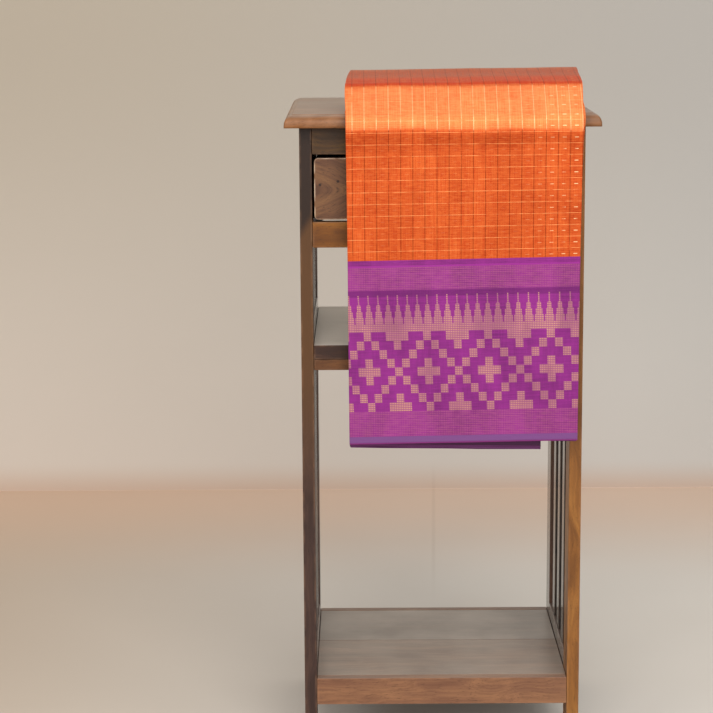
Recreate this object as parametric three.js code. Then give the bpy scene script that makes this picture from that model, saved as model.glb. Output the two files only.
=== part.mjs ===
// A folded saree lying over the front edge of a small wooden drawer stand.
// Units are millimetres. +X is right, -Y is the front and +Z is up.
import * as THREE from "three";

// ------------------------------------------------------------ driving dimensions
// The stand is laid out with X = 0 at its middle, Y = 0 at the legs' front faces and Z = 0 at the floor.
const JOINT = 0.3; // gap left at every joint and seam

const STAND_WIDTH = 354; // over the legs
const STAND_DEPTH = 310;
const LEG_WIDTH = 15.5;
const LEG_DEPTH = 46;

const TOP_UNDERSIDE = 816;
const TOP_THICKNESS = 16.5;
const TOP_OVERHANG_END = 20; // front and back
const TOP_OVERHANG_SIDE = 18.2;
const TOP_LIP = 2.5; // upright strip under the rounded edge
const TOP_ROUND = 11; // how far the rounded edge reaches inwards
const TOP_CORNER = 12; // corner radius in plan

const TOP_RAIL_HEIGHT = 34;
const DRAWER_HEAD_GAP = 3; // shadow gap over the drawer front
const DRAWER_HEIGHT = 78;
const DRAWER_FOOT_GAP = 3;
const DRAWER_SIDE_GAP = 2;
const DRAWER_FRONT_THICKNESS = 16;
const DRAWER_CHAMFER = 2;
const DRAWER_CORNER = 5;
const DRAWER_LENGTH = 250; // of its sides
const DRAWER_SIDE_HEIGHT = 60;
const DRAWER_SIDE_THICKNESS = 10;
const DRAWER_BOTTOM_THICKNESS = 5;
const DRAWER_BOTTOM_RAISE = 6; // from the lower edge of the sides
const RUNNER_REACH = 12; // how far a runner stands in from the side panel
const RUNNER_HEIGHT = 11;
const RAIL_UNDER_DRAWER = 32;
const RAIL_THICKNESS = 18;
const PANEL_THICKNESS = 13.5;

const MID_SHELF_TOP = 542.7;
const MID_SHELF_THICKNESS = 18.1;
const MID_RAIL_HEIGHT = 14;
const MID_RAIL_SETBACK = 2;
const LOW_SHELF_TOP = 105;
const LOW_SHELF_THICKNESS = 12;
const LOW_RAIL_HEIGHT = 35;
const LOW_RAIL_THICKNESS = 13;
const LOW_FRONT_BOARD = 146.7; // the rest of the lower shelf is a second board
const SIDE_RAIL_RISE = 20; // side rails stand this far above their shelf
const MID_SIDE_RAIL_HEIGHT = 57;

const SLATS_A_SIDE = 3; // in each of the two compartments
const SLAT_WIDTH = 28;
const SLAT_THICKNESS = 10;

// The saree is folded along its length into panels, then in half across its width. WALL is one outer layer.
const WALL = 1.4;
const LAYER_GAP = 0.4; // between the outer layers, the hidden ones and the table
const EDGE_CLEARANCE = 1; // at the sections around the table's rounded edge, which the cloth spans in flats
const FOLD_STEPS = 7; // stations around the back fold, to either side of its middle
const FOLD_DEPTH = 24; // how far the back fold bulges past the last section
const GROOVES = 4; // on each edge of the hidden layers
const GROOVE_DEPTH = 1.6;
const HIDDEN_INSET = 1.5; // the hidden layers end this far inside the left edge
const REAR_HEM_RAISE = 4; // the rear hem hangs this much higher than the front one
// A few hidden layers hang lower than the rest, and are narrower.
const LOW_LAYERS = { drop: 8.4, left: -115.8, right: 122.9, rise: -0.006, thickness: 4.2 };

// Sections along the folded bundle, from the hem up over the table's edge to the back fold.
// out, up: where the seen face passes at X = 0, in front of the tabletop's edge and over its surface.
// turn: 0 where the cloth hangs, 90 where it lies on the tabletop, and between them the angle round its edge.
// left, right: the side edges. rise: how much higher the cloth is towards the right, per mm.
// inner: how far the hidden layers reach past the right edge.
const SECTION_COLUMNS = ["place", "out", "up", "turn", "left", "right", "rise", "inner"];
const SECTIONS = [
  ["hem", 13.6, -408.9, 0, -117.0, 168.1, 0.0147, -1.5],
  ["border", 14.0, -292.9, 0, -117.5, 168.5, 0.0155, -1.5],
  ["seam", 14.0, -177.4, 0, -117.9, 168.9, 0.016, -1.5],
  ["hang", 14.2, -102.8, 0, -118.4, 169.8, 0.012, -1.0],
  ["tuck", 14.4, -44.7, 0, -119.0, 170.8, 0.007, 1.0],
  ["bend", 16.4, -20.6, 0, -119.2, 171.0, 0.0045, 3.0],
  ["nosing", 12.4, -5.5, 15, -119.3, 171.1, 0.0045, 4.3],
  ["slope", 1.8, 8.5, 48, -119.5, 171.3, 0.005, 3.4],
  ["brow", -13.0, 23.5, 80, -120.2, 172.2, 0.006, -1.0],
  ["crest", -28.0, 34.7, 90, -120.0, 173.0, 0.0065, -1.5],
  ["top", -46.0, 38.1, 90, -119.2, 173.5, 0.0065, -1.5],
  ["level", -90.0, 42.9, 90, -117.6, 174.5, 0.0065, -1.5],
  ["fold", -138.0, 48.1, 90, -113.4, 175.8, 0.0075, -1.5],
].map((row) => Object.fromEntries(row.map((value, i) => [SECTION_COLUMNS[i], value])));

// ------------------------------------------------------------ values worked out from them
const LEG_OUTER = STAND_WIDTH / 2;
const LEG_INNER = LEG_OUTER - LEG_WIDTH;
const SPAN = LEG_INNER - JOINT; // half the length of what fits between the legs
const SIDE_FRONT = LEG_DEPTH + JOINT;
const SIDE_BACK = STAND_DEPTH - LEG_DEPTH - JOINT;
const TOP_SURFACE = TOP_UNDERSIDE + TOP_THICKNESS;
const FRAME_TOP = TOP_UNDERSIDE - JOINT;
const DRAWER_TOP = TOP_UNDERSIDE - TOP_RAIL_HEIGHT - DRAWER_HEAD_GAP;
const DRAWER_FOOT = DRAWER_TOP - DRAWER_HEIGHT;
const UNDER_RAIL_TOP = DRAWER_FOOT - DRAWER_FOOT_GAP;
const UNDER_RAIL_FOOT = UNDER_RAIL_TOP - RAIL_UNDER_DRAWER;
const TABLE_FRONT = -TOP_OVERHANG_END;
const TABLE_BACK = STAND_DEPTH + TOP_OVERHANG_END;
const CLOTH_FRONT = TABLE_FRONT - Math.max(...SECTIONS.map((row) => row.out));
const CLOTH_REAR = TABLE_FRONT - LAYER_GAP;
const CLOTH_FOOT = TOP_SURFACE + LAYER_GAP;

// ------------------------------------------------------------ materials and nodes
const LOOKS = {
  wood: { color: "#6b4630", roughness: 0.4, metalness: 0 },
  shelf: { color: "#7d6650", roughness: 0.35, metalness: 0 },
  orange: { color: "#e4602a", roughness: 0.45, metalness: 0 },
  purple: { color: "#8f2f96", roughness: 0.45, metalness: 0 },
};

const stand = new THREE.Group();
const saree = new THREE.Group();

function addPiece(group, name, geometry, look) {
  const mesh = new THREE.Mesh(geometry, new THREE.MeshStandardMaterial(LOOKS[look]));
  mesh.name = name;
  group.add(mesh);
}

// ------------------------------------------------------------ wood
function board(name, [x0, x1], [y0, y1], [z0, z1], look = "wood") {
  const geometry = new THREE.BoxGeometry(x1 - x0, y1 - y0, z1 - z0);
  geometry.translate((x0 + x1) / 2, (y0 + y1) / 2, (z0 + z1) / 2);
  addPiece(stand, name, geometry, look);
}

// The outline of a rectangle with round corners, counter-clockwise, as [x, y] points.
function roundedRectangle(halfX, halfY, radius, steps = 5) {
  const outline = [];
  for (let corner = 0; corner < 4; corner++) {
    const signX = corner === 0 || corner === 3 ? 1 : -1;
    const signY = corner < 2 ? 1 : -1;
    for (let step = 0; step <= steps; step++) {
      const angle = ((corner + step / steps) * Math.PI) / 2;
      outline.push([
        signX * (halfX - radius) + radius * Math.cos(angle),
        signY * (halfY - radius) + radius * Math.sin(angle),
      ]);
    }
  }
  return outline;
}

// A closed mesh through rings of equal point counts, listed from the lowest to the highest.
function loft(rings) {
  const count = rings[0].length;
  const index = [];
  for (let ring = 0; ring < rings.length - 1; ring++) {
    for (let point = 0; point < count; point++) {
      const next = (point + 1) % count;
      const [a, b] = [ring * count + point, ring * count + next];
      index.push(a, b, b + count, a, b + count, a + count);
    }
  }
  const last = (rings.length - 1) * count;
  for (let point = 1; point < count - 1; point++) {
    index.push(0, point + 1, point, last, last + point, last + point + 1);
  }
  return meshOf(rings.flat(), index);
}

function meshOf(points, index) {
  const geometry = new THREE.BufferGeometry();
  geometry.setAttribute("position", new THREE.Float32BufferAttribute(points.flat(), 3));
  geometry.setIndex(index);
  geometry.computeVertexNormals();
  return geometry;
}

function tableTop() {
  const halfX = LEG_OUTER + TOP_OVERHANG_SIDE;
  const halfY = STAND_DEPTH / 2 + TOP_OVERHANG_END;
  const ring = (inset, z) =>
    roundedRectangle(halfX - inset, halfY - inset, TOP_CORNER).map(([x, y]) => [
      x,
      y + STAND_DEPTH / 2,
      z,
    ]);
  const rings = [ring(0, TOP_UNDERSIDE)];
  const steps = 5;
  for (let step = 0; step <= steps; step++) {
    const angle = ((step / steps) * Math.PI) / 2;
    const z = TOP_UNDERSIDE + TOP_LIP + (TOP_THICKNESS - TOP_LIP) * Math.sin(angle);
    rings.push(ring(TOP_ROUND * (1 - Math.cos(angle)), z));
  }
  addPiece(stand, "table_top", loft(rings), "shelf");
}

const SIDES = [
  { side: "left", sign: -1 },
  { side: "right", sign: 1 },
];
// A range in X that is mirrored to the left side of the stand when sign is -1.
const mirrored = (sign, low, high) => (sign > 0 ? [low, high] : [-high, -low]);

function legs() {
  for (const { side, sign } of SIDES) {
    const x = mirrored(sign, LEG_INNER, LEG_OUTER);
    board(`leg_front_${side}`, x, [0, LEG_DEPTH], [0, FRAME_TOP]);
    board(`leg_back_${side}`, x, [STAND_DEPTH - LEG_DEPTH, STAND_DEPTH], [0, FRAME_TOP]);
  }
}

function drawerCase() {
  const across = [-SPAN, SPAN];
  board("rail_over_drawer", across, [0, RAIL_THICKNESS], [TOP_UNDERSIDE - TOP_RAIL_HEIGHT, FRAME_TOP]);
  board("rail_under_drawer", across, [0, RAIL_THICKNESS], [UNDER_RAIL_FOOT, UNDER_RAIL_TOP]);
  board("back_panel", across, [STAND_DEPTH - PANEL_THICKNESS, STAND_DEPTH], [UNDER_RAIL_FOOT, FRAME_TOP]);
  for (const { side, sign } of SIDES) {
    const panel = mirrored(sign, LEG_INNER, LEG_INNER + PANEL_THICKNESS);
    board(`side_panel_${side}`, panel, [SIDE_FRONT, SIDE_BACK], [UNDER_RAIL_FOOT, FRAME_TOP]);
    const runner = mirrored(sign, SPAN - RUNNER_REACH, SPAN);
    const runnerHeight = [DRAWER_FOOT - RUNNER_HEIGHT, DRAWER_FOOT];
    board(`runner_${side}`, runner, [RAIL_THICKNESS + JOINT, SIDE_BACK], runnerHeight);
  }
}

function drawer() {
  const halfX = LEG_INNER - DRAWER_SIDE_GAP;
  const halfZ = DRAWER_HEIGHT / 2;
  // The front lies with its face to -Y, so its outline is drawn in X and Z.
  const ring = (inset, y) =>
    roundedRectangle(halfX - inset, halfZ - inset, DRAWER_CORNER - inset).map(([x, z]) => [
      x,
      y,
      z + DRAWER_FOOT + halfZ,
    ]);
  const front = loft([
    ring(0, DRAWER_FRONT_THICKNESS),
    ring(0, DRAWER_CHAMFER),
    ring(DRAWER_CHAMFER, 0),
  ]);
  addPiece(stand, "drawer_front", front, "wood");

  const sideFoot = DRAWER_FOOT + JOINT;
  const outer = SPAN - RUNNER_REACH / 2;
  const inner = outer - DRAWER_SIDE_THICKNESS;
  const boxFront = DRAWER_FRONT_THICKNESS + JOINT;
  const boxBack = boxFront + DRAWER_LENGTH;
  const height = [sideFoot, sideFoot + DRAWER_SIDE_HEIGHT];
  for (const { side, sign } of SIDES) {
    board(`drawer_side_${side}`, mirrored(sign, inner, outer), [boxFront, boxBack], height);
  }
  const between = [-inner + JOINT, inner - JOINT];
  const bottomFoot = sideFoot + DRAWER_BOTTOM_RAISE;
  const bottomTop = bottomFoot + DRAWER_BOTTOM_THICKNESS;
  board("drawer_bottom", between, [boxFront, boxBack], [bottomFoot, bottomTop]);
  board("drawer_back", between, [boxBack - DRAWER_SIDE_THICKNESS, boxBack], [bottomTop + JOINT, height[1]]);

  // A small turned knob, as [radius, distance from the drawer's face].
  const profile = [
    [0, 0],
    [6, 0],
    [5, 4],
    [9, 8],
    [10, 11],
    [7, 14],
    [0, 15],
  ].map(([radius, out]) => new THREE.Vector2(radius, out));
  const knob = new THREE.LatheGeometry(profile, 20);
  knob.rotateX(Math.PI);
  knob.translate(0, -JOINT, DRAWER_FOOT + halfZ);
  addPiece(stand, "drawer_knob", knob, "wood");
}

function shelves() {
  const across = [-SPAN, SPAN];
  const midBoard = [MID_SHELF_TOP - MID_SHELF_THICKNESS, MID_SHELF_TOP];
  board("mid_shelf", across, [0, STAND_DEPTH], midBoard, "shelf");
  const midRail = [midBoard[0] - JOINT - MID_RAIL_HEIGHT, midBoard[0] - JOINT];
  const lowBoard = [LOW_SHELF_TOP - LOW_SHELF_THICKNESS, LOW_SHELF_TOP];
  const lowRail = [LOW_SHELF_TOP - LOW_RAIL_HEIGHT, LOW_SHELF_TOP];
  const lowFront = LOW_RAIL_THICKNESS + JOINT;
  const lowSeam = lowFront + LOW_FRONT_BOARD;
  board("low_shelf_front", across, [lowFront, lowSeam], lowBoard, "shelf");
  board("low_shelf_rear", across, [lowSeam + JOINT, STAND_DEPTH - lowFront], lowBoard, "shelf");
  for (const end of ["front", "back"]) {
    const fromEnd = (near, far) => (end === "front" ? [near, far] : [STAND_DEPTH - far, STAND_DEPTH - near]);
    const midDepth = fromEnd(MID_RAIL_SETBACK, MID_RAIL_SETBACK + LOW_RAIL_THICKNESS);
    board(`mid_rail_${end}`, across, midDepth, midRail);
    board(`low_rail_${end}`, across, fromEnd(0, LOW_RAIL_THICKNESS), lowRail);
  }
}

// The side rails of both shelves, with upright slats between them and up to the drawer's case.
function sidesOfSlats() {
  const midSideTop = MID_SHELF_TOP + SIDE_RAIL_RISE;
  const midSideFoot = midSideTop - MID_SIDE_RAIL_HEIGHT;
  const lowSideTop = LOW_SHELF_TOP + SIDE_RAIL_RISE;
  const gap = (SIDE_BACK - SIDE_FRONT - SLATS_A_SIDE * SLAT_WIDTH) / (SLATS_A_SIDE + 1);
  const levels = [
    { level: "upper", foot: midSideTop + JOINT, top: UNDER_RAIL_FOOT - JOINT },
    { level: "lower", foot: lowSideTop + JOINT, top: midSideFoot - JOINT },
  ];
  for (const { side, sign } of SIDES) {
    const rail = mirrored(sign, LEG_INNER, LEG_INNER + PANEL_THICKNESS);
    const depth = [SIDE_FRONT, SIDE_BACK];
    board(`mid_side_rail_${side}`, rail, depth, [midSideFoot, midSideTop]);
    board(`low_side_rail_${side}`, rail, depth, [LOW_SHELF_TOP - LOW_RAIL_HEIGHT, lowSideTop]);
    const inner = LEG_INNER + (PANEL_THICKNESS - SLAT_THICKNESS) / 2;
    for (const { level, foot, top } of levels) {
      for (let slat = 0; slat < SLATS_A_SIDE; slat++) {
        const y = SIDE_FRONT + gap + slat * (SLAT_WIDTH + gap);
        const x = mirrored(sign, inner, inner + SLAT_THICKNESS);
        board(`slat_${level}_${side}_${slat + 1}`, x, [y, y + SLAT_WIDTH], [foot, top]);
      }
    }
  }
}

// ------------------------------------------------------------ cloth
// Where the cloth's rear face is at a section, as [y, z].
function rearFace({ out, up, turn }) {
  if (turn === 0) return [CLOTH_REAR, TOP_SURFACE + up];
  if (turn === 90) return [TABLE_FRONT - out, CLOTH_FOOT];
  const angle = (turn * Math.PI) / 180;
  const [cos, sin] = [Math.cos(angle), Math.sin(angle)];
  const [across, height] = [TOP_ROUND, TOP_THICKNESS - TOP_LIP];
  return [
    TABLE_FRONT + across - (across + EDGE_CLEARANCE) * cos,
    TOP_SURFACE - height + (height + EDGE_CLEARANCE) * sin,
  ];
}

// Stations along the bundle's outer face, from either hem to the back fold's tip. front and rear match
// section by section, and each ends with the steps round the fold.
function outerFaces() {
  const last = SECTIONS[SECTIONS.length - 1];
  const half = (last.up - LAYER_GAP) / 2;
  const middle = CLOTH_FOOT + half;
  const round = (step) => {
    const angle = (step / FOLD_STEPS) * (Math.PI / 2);
    return {
      ...last,
      place: `round ${step}`,
      y: TABLE_FRONT - last.out + FOLD_DEPTH * Math.sin(angle),
      z: middle + half * Math.cos(angle),
      rise: last.rise * (0.5 + 0.5 * Math.cos(angle)),
    };
  };
  const front = SECTIONS.map((row) => ({ ...row, y: TABLE_FRONT - row.out, z: TOP_SURFACE + row.up }));
  const rear = SECTIONS.map((row) => {
    const [y, z] = rearFace(row);
    return { ...row, y, z, rise: row.turn === 0 ? row.rise : 0 };
  });
  rear[0].z += REAR_HEM_RAISE;
  for (let step = 1; step < FOLD_STEPS; step++) {
    const station = round(step);
    front.push(station);
    rear.push({ ...station, z: 2 * middle - station.z, rise: last.rise - station.rise });
  }
  return { front, tip: { ...round(FOLD_STEPS), place: "tip" }, rear };
}

// The same stations moved into the bundle by a distance, along the mean of the two neighbouring normals.
function movedIn({ front, tip, rear }, distance) {
  const loop = [...front, tip, ...rear.toReversed()];
  const normal = (a, b) => new THREE.Vector2(b.z - a.z, a.y - b.y).normalize();
  const moved = loop.map((station, i) => {
    const before = normal(loop[Math.max(i - 1, 0)], loop[Math.max(i, 1)]);
    const after = normal(loop[Math.min(i, loop.length - 2)], loop[Math.min(i + 1, loop.length - 1)]);
    const mean = before.clone().add(after).normalize();
    const step = distance / mean.dot(after);
    return { ...station, y: station.y + mean.x * step, z: station.z + mean.y * step };
  });
  return {
    front: moved.slice(0, front.length),
    tip: moved[front.length],
    rear: moved.slice(front.length + 1).reverse(),
  };
}

// The stations from one place to another. An end that meets a neighbour stops half a joint short.
function stretch(stations, from, to) {
  const at = (place) => stations.findIndex((station) => station.place === place);
  const part = stations.slice(at(from), at(to) + 1);
  const shortened = (end, next) => {
    const share = JOINT / 2 / Math.hypot(next.y - end.y, next.z - end.z);
    return mixed(end, next, share);
  };
  const end = part.length - 1;
  if (at(from) > 0) part[0] = shortened(part[0], part[1]);
  if (at(to) < stations.length - 1) part[end] = shortened(part[end], part[end - 1]);
  return part;
}

function mixed(a, b, share) {
  const mix = (key) => a[key] + (b[key] - a[key]) * share;
  return { ...a, y: mix("y"), z: mix("z"), left: mix("left"), right: mix("right"), rise: mix("rise") };
}

// A closed band between two faces with matching stations. Its side edges are grooved where it is layered.
function band(face, back, layered = false) {
  const levels = layered ? 2 * GROOVES + 1 : 2;
  const points = [];
  face.forEach((station, i) => {
    for (let level = 0; level < levels; level++) {
      const { y, z, left, right, rise } = mixed(station, back[i], level / (levels - 1));
      const groove = level % 2 === 1 && layered ? GROOVE_DEPTH : 0;
      for (const x of [left + groove, right - groove]) {
        points.push([x, y, z + rise * x]);
      }
    }
  });
  const index = [];
  const quad = (a, b, c, d) => index.push(a, b, c, a, c, d);
  const row = 2 * levels;
  const backEdge = row - 2;
  for (let here = 0; here < (face.length - 1) * row; here += row) {
    const next = here + row;
    quad(here, here + 1, next + 1, next);
    quad(next + backEdge, next + backEdge + 1, here + backEdge + 1, here + backEdge);
    for (let k = 0; k < backEdge; k += 2) {
      quad(here + k, next + k, next + k + 2, here + k + 2);
      quad(here + k + 1, here + k + 3, next + k + 3, next + k + 1);
    }
  }
  const last = (face.length - 1) * row;
  for (let k = 0; k < backEdge; k += 2) {
    quad(k, k + 2, k + 3, k + 1);
    quad(last + k, last + k + 1, last + k + 3, last + k + 2);
  }
  return meshOf(points, index);
}

// The outermost layer, which wraps the whole bundle.
function outerLayer(outer) {
  const inside = movedIn(outer, WALL);
  const whole = ({ front, tip, rear }) => [
    ...front,
    tip,
    ...rear.map((station) => ({ ...station, place: `rear ${station.place}` })).reverse(),
  ];
  const [face, back] = [whole(outer), whole(inside)];
  const wall = (name, from, to, look) =>
    addPiece(saree, name, band(stretch(face, from, to), stretch(back, from, to)), look);
  wall("saree_border_front", "hem", "seam", "purple");
  wall("saree_hang_front", "seam", "bend", "orange");
  wall("saree_slope", "bend", "crest", "orange");
  wall("saree_top", "crest", "tip", "orange");
  wall("saree_underside", "tip", "rear bend", "orange");
  wall("saree_hang_rear", "rear bend", "rear seam", "orange");
  wall("saree_border_rear", "rear seam", "rear hem", "purple");
}

// The layers inside the outermost one.
function hiddenLayers(outer) {
  const narrowed = (station) => ({
    ...station,
    left: station.left + HIDDEN_INSET,
    right: station.right + station.inner,
  });
  const { front, rear } = movedIn(outer, WALL + LAYER_GAP);
  const face = front.map(narrowed);
  const back = rear.map(narrowed);
  const layers = (name, from, to, look, behind = back) =>
    addPiece(saree, name, band(stretch(face, from, to), stretch(behind, from, to), true), look);
  const lowFront = movedIn(outer, WALL + LAYER_GAP + LOW_LAYERS.thickness).rear;
  const beforeLow = movedIn(outer, WALL + 2 * LAYER_GAP + LOW_LAYERS.thickness).rear.map(narrowed);
  beforeLow[0].z = face[0].z;
  layers("saree_layers_border", "hem", "seam", "purple", beforeLow);
  layers("saree_layers_hang", "seam", "bend", "orange");
  layers("saree_layers_slope", "bend", "crest", "orange");
  layers("saree_layers_top", "crest", `round ${FOLD_STEPS - 1}`, "orange");

  const { drop, left, right, rise } = LOW_LAYERS;
  const low = (stations) =>
    stretch(stations, "hem", "seam").map((station, i) => ({
      ...station,
      left,
      right,
      rise: i === 0 ? rise : station.rise,
      z: i === 0 ? face[0].z - drop : station.z,
    }));
  addPiece(saree, "saree_layers_low", band(low(lowFront), low(rear), true), "purple");
}

tableTop();
legs();
drawerCase();
drawer();
shelves();
sidesOfSlats();
const outer = outerFaces();
outerLayer(outer);
hiddenLayers(outer);

// The part's origin is under the middle of its outline in plan, on the floor.
const part = new THREE.Group();
for (const group of [stand, saree]) {
  group.position.y = -(CLOTH_FRONT + TABLE_BACK) / 2;
  part.add(group);
}
export default part;
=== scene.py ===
# %% [markdown]
# # A folded saree on a drawer stand
#
# A saree is one long length of silk with a woven border along each side. This one is folded into a
# bundle about 290 mm wide, folded once more across, and laid over the front edge of a small wooden
# stand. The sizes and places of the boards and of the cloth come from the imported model, which is
# loaded first and never moved. Everything here gives it its finished surfaces.

# %% The frame and the libraries
import bisect
import math

import bmesh
import bpy
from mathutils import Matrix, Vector, noise


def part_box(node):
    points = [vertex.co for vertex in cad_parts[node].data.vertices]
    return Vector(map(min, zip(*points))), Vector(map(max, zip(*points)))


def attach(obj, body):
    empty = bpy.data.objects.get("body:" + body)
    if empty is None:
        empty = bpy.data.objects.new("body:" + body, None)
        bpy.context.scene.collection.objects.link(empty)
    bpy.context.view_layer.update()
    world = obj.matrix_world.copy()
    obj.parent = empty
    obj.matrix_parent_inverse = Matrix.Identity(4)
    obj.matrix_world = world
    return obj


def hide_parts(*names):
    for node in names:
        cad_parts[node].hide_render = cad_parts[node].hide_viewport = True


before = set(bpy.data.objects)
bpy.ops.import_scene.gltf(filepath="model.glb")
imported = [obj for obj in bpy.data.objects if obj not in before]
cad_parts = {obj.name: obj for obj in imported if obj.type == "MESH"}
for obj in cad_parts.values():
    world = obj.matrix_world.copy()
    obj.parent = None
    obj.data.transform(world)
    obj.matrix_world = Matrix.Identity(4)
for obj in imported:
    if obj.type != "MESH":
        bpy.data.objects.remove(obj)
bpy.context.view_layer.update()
NODES = sorted(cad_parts)
MM = 0.001

# %% [markdown]
# ## The camera
#
# The camera stands 2.8 m in front, a little to the left, and looks down by about ten degrees. The lens
# is long, so the stand's uprights stay nearly parallel. The feet end below the picture.

# %% The camera
CAMERA_PLACE = (-0.1015, -2.8096, 1.0153)
CAMERA_TURN = (79.6298, 0.3512, 0.0677)  # degrees
CAMERA_LENS = 108.708
CAMERA_SENSOR = 36.0

camera_data = bpy.data.cameras.new("camera")
camera_data.lens = CAMERA_LENS
camera_data.sensor_width = CAMERA_SENSOR
camera = bpy.data.objects.new("camera", camera_data)
camera.location = CAMERA_PLACE
camera.rotation_euler = [math.radians(angle) for angle in CAMERA_TURN]
bpy.context.scene.collection.objects.link(camera)
bpy.context.scene.camera = camera
bpy.context.scene.view_settings.view_transform = "Standard"
print("camera at", CAMERA_PLACE)

# %% [markdown]
# ## Building shaders in code
#
# A shader is a graph of nodes. Written out node by node it gets long, so this helper adds one node a
# line: a value that is a socket is linked, and any other value is typed into the socket. Colours are
# written as hex strings, as a picker shows them, and turned into the linear values that shaders use.


# %% A helper for colours
def tint(code):
    """A hex colour such as 8a5a30 as linear red, green and blue."""
    shades = [int(code[i : i + 2], 16) / 255 for i in (0, 2, 4)]
    return tuple(c / 12.92 if c <= 0.04045 else ((c + 0.055) / 1.055) ** 2.4 for c in shades)


print("mid grey is", tint("808080")[0])


# %% A helper for node graphs
class Graph:
    """Adds nodes to one node tree by short calls."""

    def __init__(self, tree):
        self.tree = tree

    def put(self, socket, value):
        if isinstance(value, bpy.types.NodeSocket):
            self.tree.links.new(value, socket)
        elif isinstance(value, tuple) and socket.type == "RGBA" and len(value) == 3:
            socket.default_value = (*value, 1.0)
        elif value is not None:
            socket.default_value = value

    def node(self, kind, *values, **settings):
        made = self.tree.nodes.new("ShaderNode" + kind)
        for name, value in settings.items():
            setattr(made, name, value)
        for socket, value in zip(made.inputs, values):
            self.put(socket, value)
        return made

    def math(self, operation, *values):
        return self.node("Math", *values, operation=operation).outputs[0]

    def times(self, *values):
        return self.math("MULTIPLY", *values)

    def plus(self, *values):
        return self.math("ADD", *values)

    def minus(self, *values):
        return self.math("SUBTRACT", *values)

    def scaled(self, *values):
        """The first value times the second, plus the third."""
        return self.math("MULTIPLY_ADD", *values)

    def most(self, value, *others):
        for other in others:
            value = self.math("MAXIMUM", value, other)
        return value

    def vector(self, operation, *values):
        return self.node("VectorMath", *values, operation=operation).outputs[0]

    def parts(self, vector):
        return self.node("SeparateXYZ", vector).outputs

    def joined(self, x, y, z):
        return self.node("CombineXYZ", x, y, z).outputs[0]

    def mix(self, share, a, b):
        made = self.node("Mix", data_type="RGBA", clamp_factor=True)
        for index, value in ((0, share), (6, a), (7, b)):
            self.put(made.inputs[index], value)
        return made.outputs[2]

    def noise(self, vector, stretch=(1.0, 1.0, 1.0), detail=2.0, roughness=0.5):
        """Noise from about 0.2 to 0.8. stretch is how many features lie on a metre, each way."""
        made = self.node("TexNoise")
        self.put(made.inputs["Vector"], self.vector("MULTIPLY", vector, stretch))
        self.put(made.inputs["Scale"], 1.0)
        self.put(made.inputs["Detail"], detail)
        self.put(made.inputs["Roughness"], roughness)
        return made.outputs[0]

    def ramp(self, value, stops):
        made = self.node("ValToRGB", value)
        elements = made.color_ramp.elements
        while len(elements) < len(stops):
            elements.new(0.5)
        for element, (place, colour) in zip(elements, stops):
            element.position = place
            element.color = (*colour, 1.0)
        return made.outputs[0]

    def rise(self, value, low, high):
        """0 below low, 1 above high, and a soft step between them."""
        return self.node("MapRange", value, low, high, 0.0, 1.0, interpolation_type="SMOOTHSTEP").outputs[0]

    def fall(self, value, low, high):
        return self.minus(1.0, self.rise(value, low, high))

    def within(self, value, low, high, soft):
        """1 between low and high, with edges that are soft over a distance."""
        up = self.rise(value, low - soft / 2, low + soft / 2)
        return self.minus(up, self.rise(value, high - soft / 2, high + soft / 2))

    def layers(self, colour, *coats):
        """Lays colours over a colour. A coat is a mask, how much of the mask counts, and a colour."""
        for mask, share, coat in coats:
            colour = self.mix(self.times(mask, share), colour, coat)
        return colour

    def attribute(self, name, output="Vector"):
        return self.node("Attribute", attribute_name=name).outputs[output]

    def upward(self):
        """How far the surface faces up, from -1 to 1."""
        return self.parts(self.node("NewGeometry").outputs["Normal"])["Z"]

    def relief(self, height, strength, distance):
        made = self.node("Bump", strength, distance)
        self.put(made.inputs["Height"], height)
        return made.outputs[0]

    def give(self, sockets, **values):
        """Fills sockets by their names, with _ for a space."""
        for name, value in values.items():
            self.put(sockets[name.replace("_", " ")], value)

    def use(self, group, **inputs):
        made = self.node("Group", node_tree=group)
        self.give(made.inputs, **inputs)
        return made.outputs


# %% Helpers for node groups and materials
def new_group(name, inputs, outputs):
    """A node group with named sockets, each of the kind Float, Vector or Color."""
    tree = bpy.data.node_groups.new(name, "ShaderNodeTree")
    for direction, sockets in (("INPUT", inputs), ("OUTPUT", outputs)):
        for socket, kind in sockets.items():
            tree.interface.new_socket(socket, in_out=direction, socket_type="NodeSocket" + kind)
    given = tree.nodes.new("NodeGroupInput").outputs
    result = tree.nodes.new("NodeGroupOutput").inputs
    return Graph(tree), given, result


def new_material(name, **finish):
    """A material with a Principled shader, whose uniform values are set on its own sockets."""
    material = bpy.data.materials.new(name)
    material.use_nodes = True
    graph = Graph(material.node_tree)
    shader = material.node_tree.nodes["Principled BSDF"].inputs
    graph.give(shader, **finish)
    return material, graph, shader


print("node helpers are ready")

# %% [markdown]
# ## The studio
#
# The stand is shown in front of a sheet of pale paper that lies on the floor and then goes up behind
# it. The bend between them is tight, so it shows as a faint line. The sheet is a grid with one column,
# and each of its rows is moved along it: flat, round a quarter circle, then upright. Its back is left
# clear, so that the stand can be seen from behind too.

# %% The paper sweep
SWEEP_WIDTH = 24.0
SWEEP_FRONT = -14.0
SWEEP_WALL = 1.295  # where the paper stands upright
SWEEP_RADIUS = 0.001
SWEEP_HEIGHT = 5.0
SWEEP_ROWS = 80
SWEEP_FLAT = SWEEP_WALL - SWEEP_RADIUS - SWEEP_FRONT
SWEEP_ROUND = SWEEP_RADIUS * math.pi / 2


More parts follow.
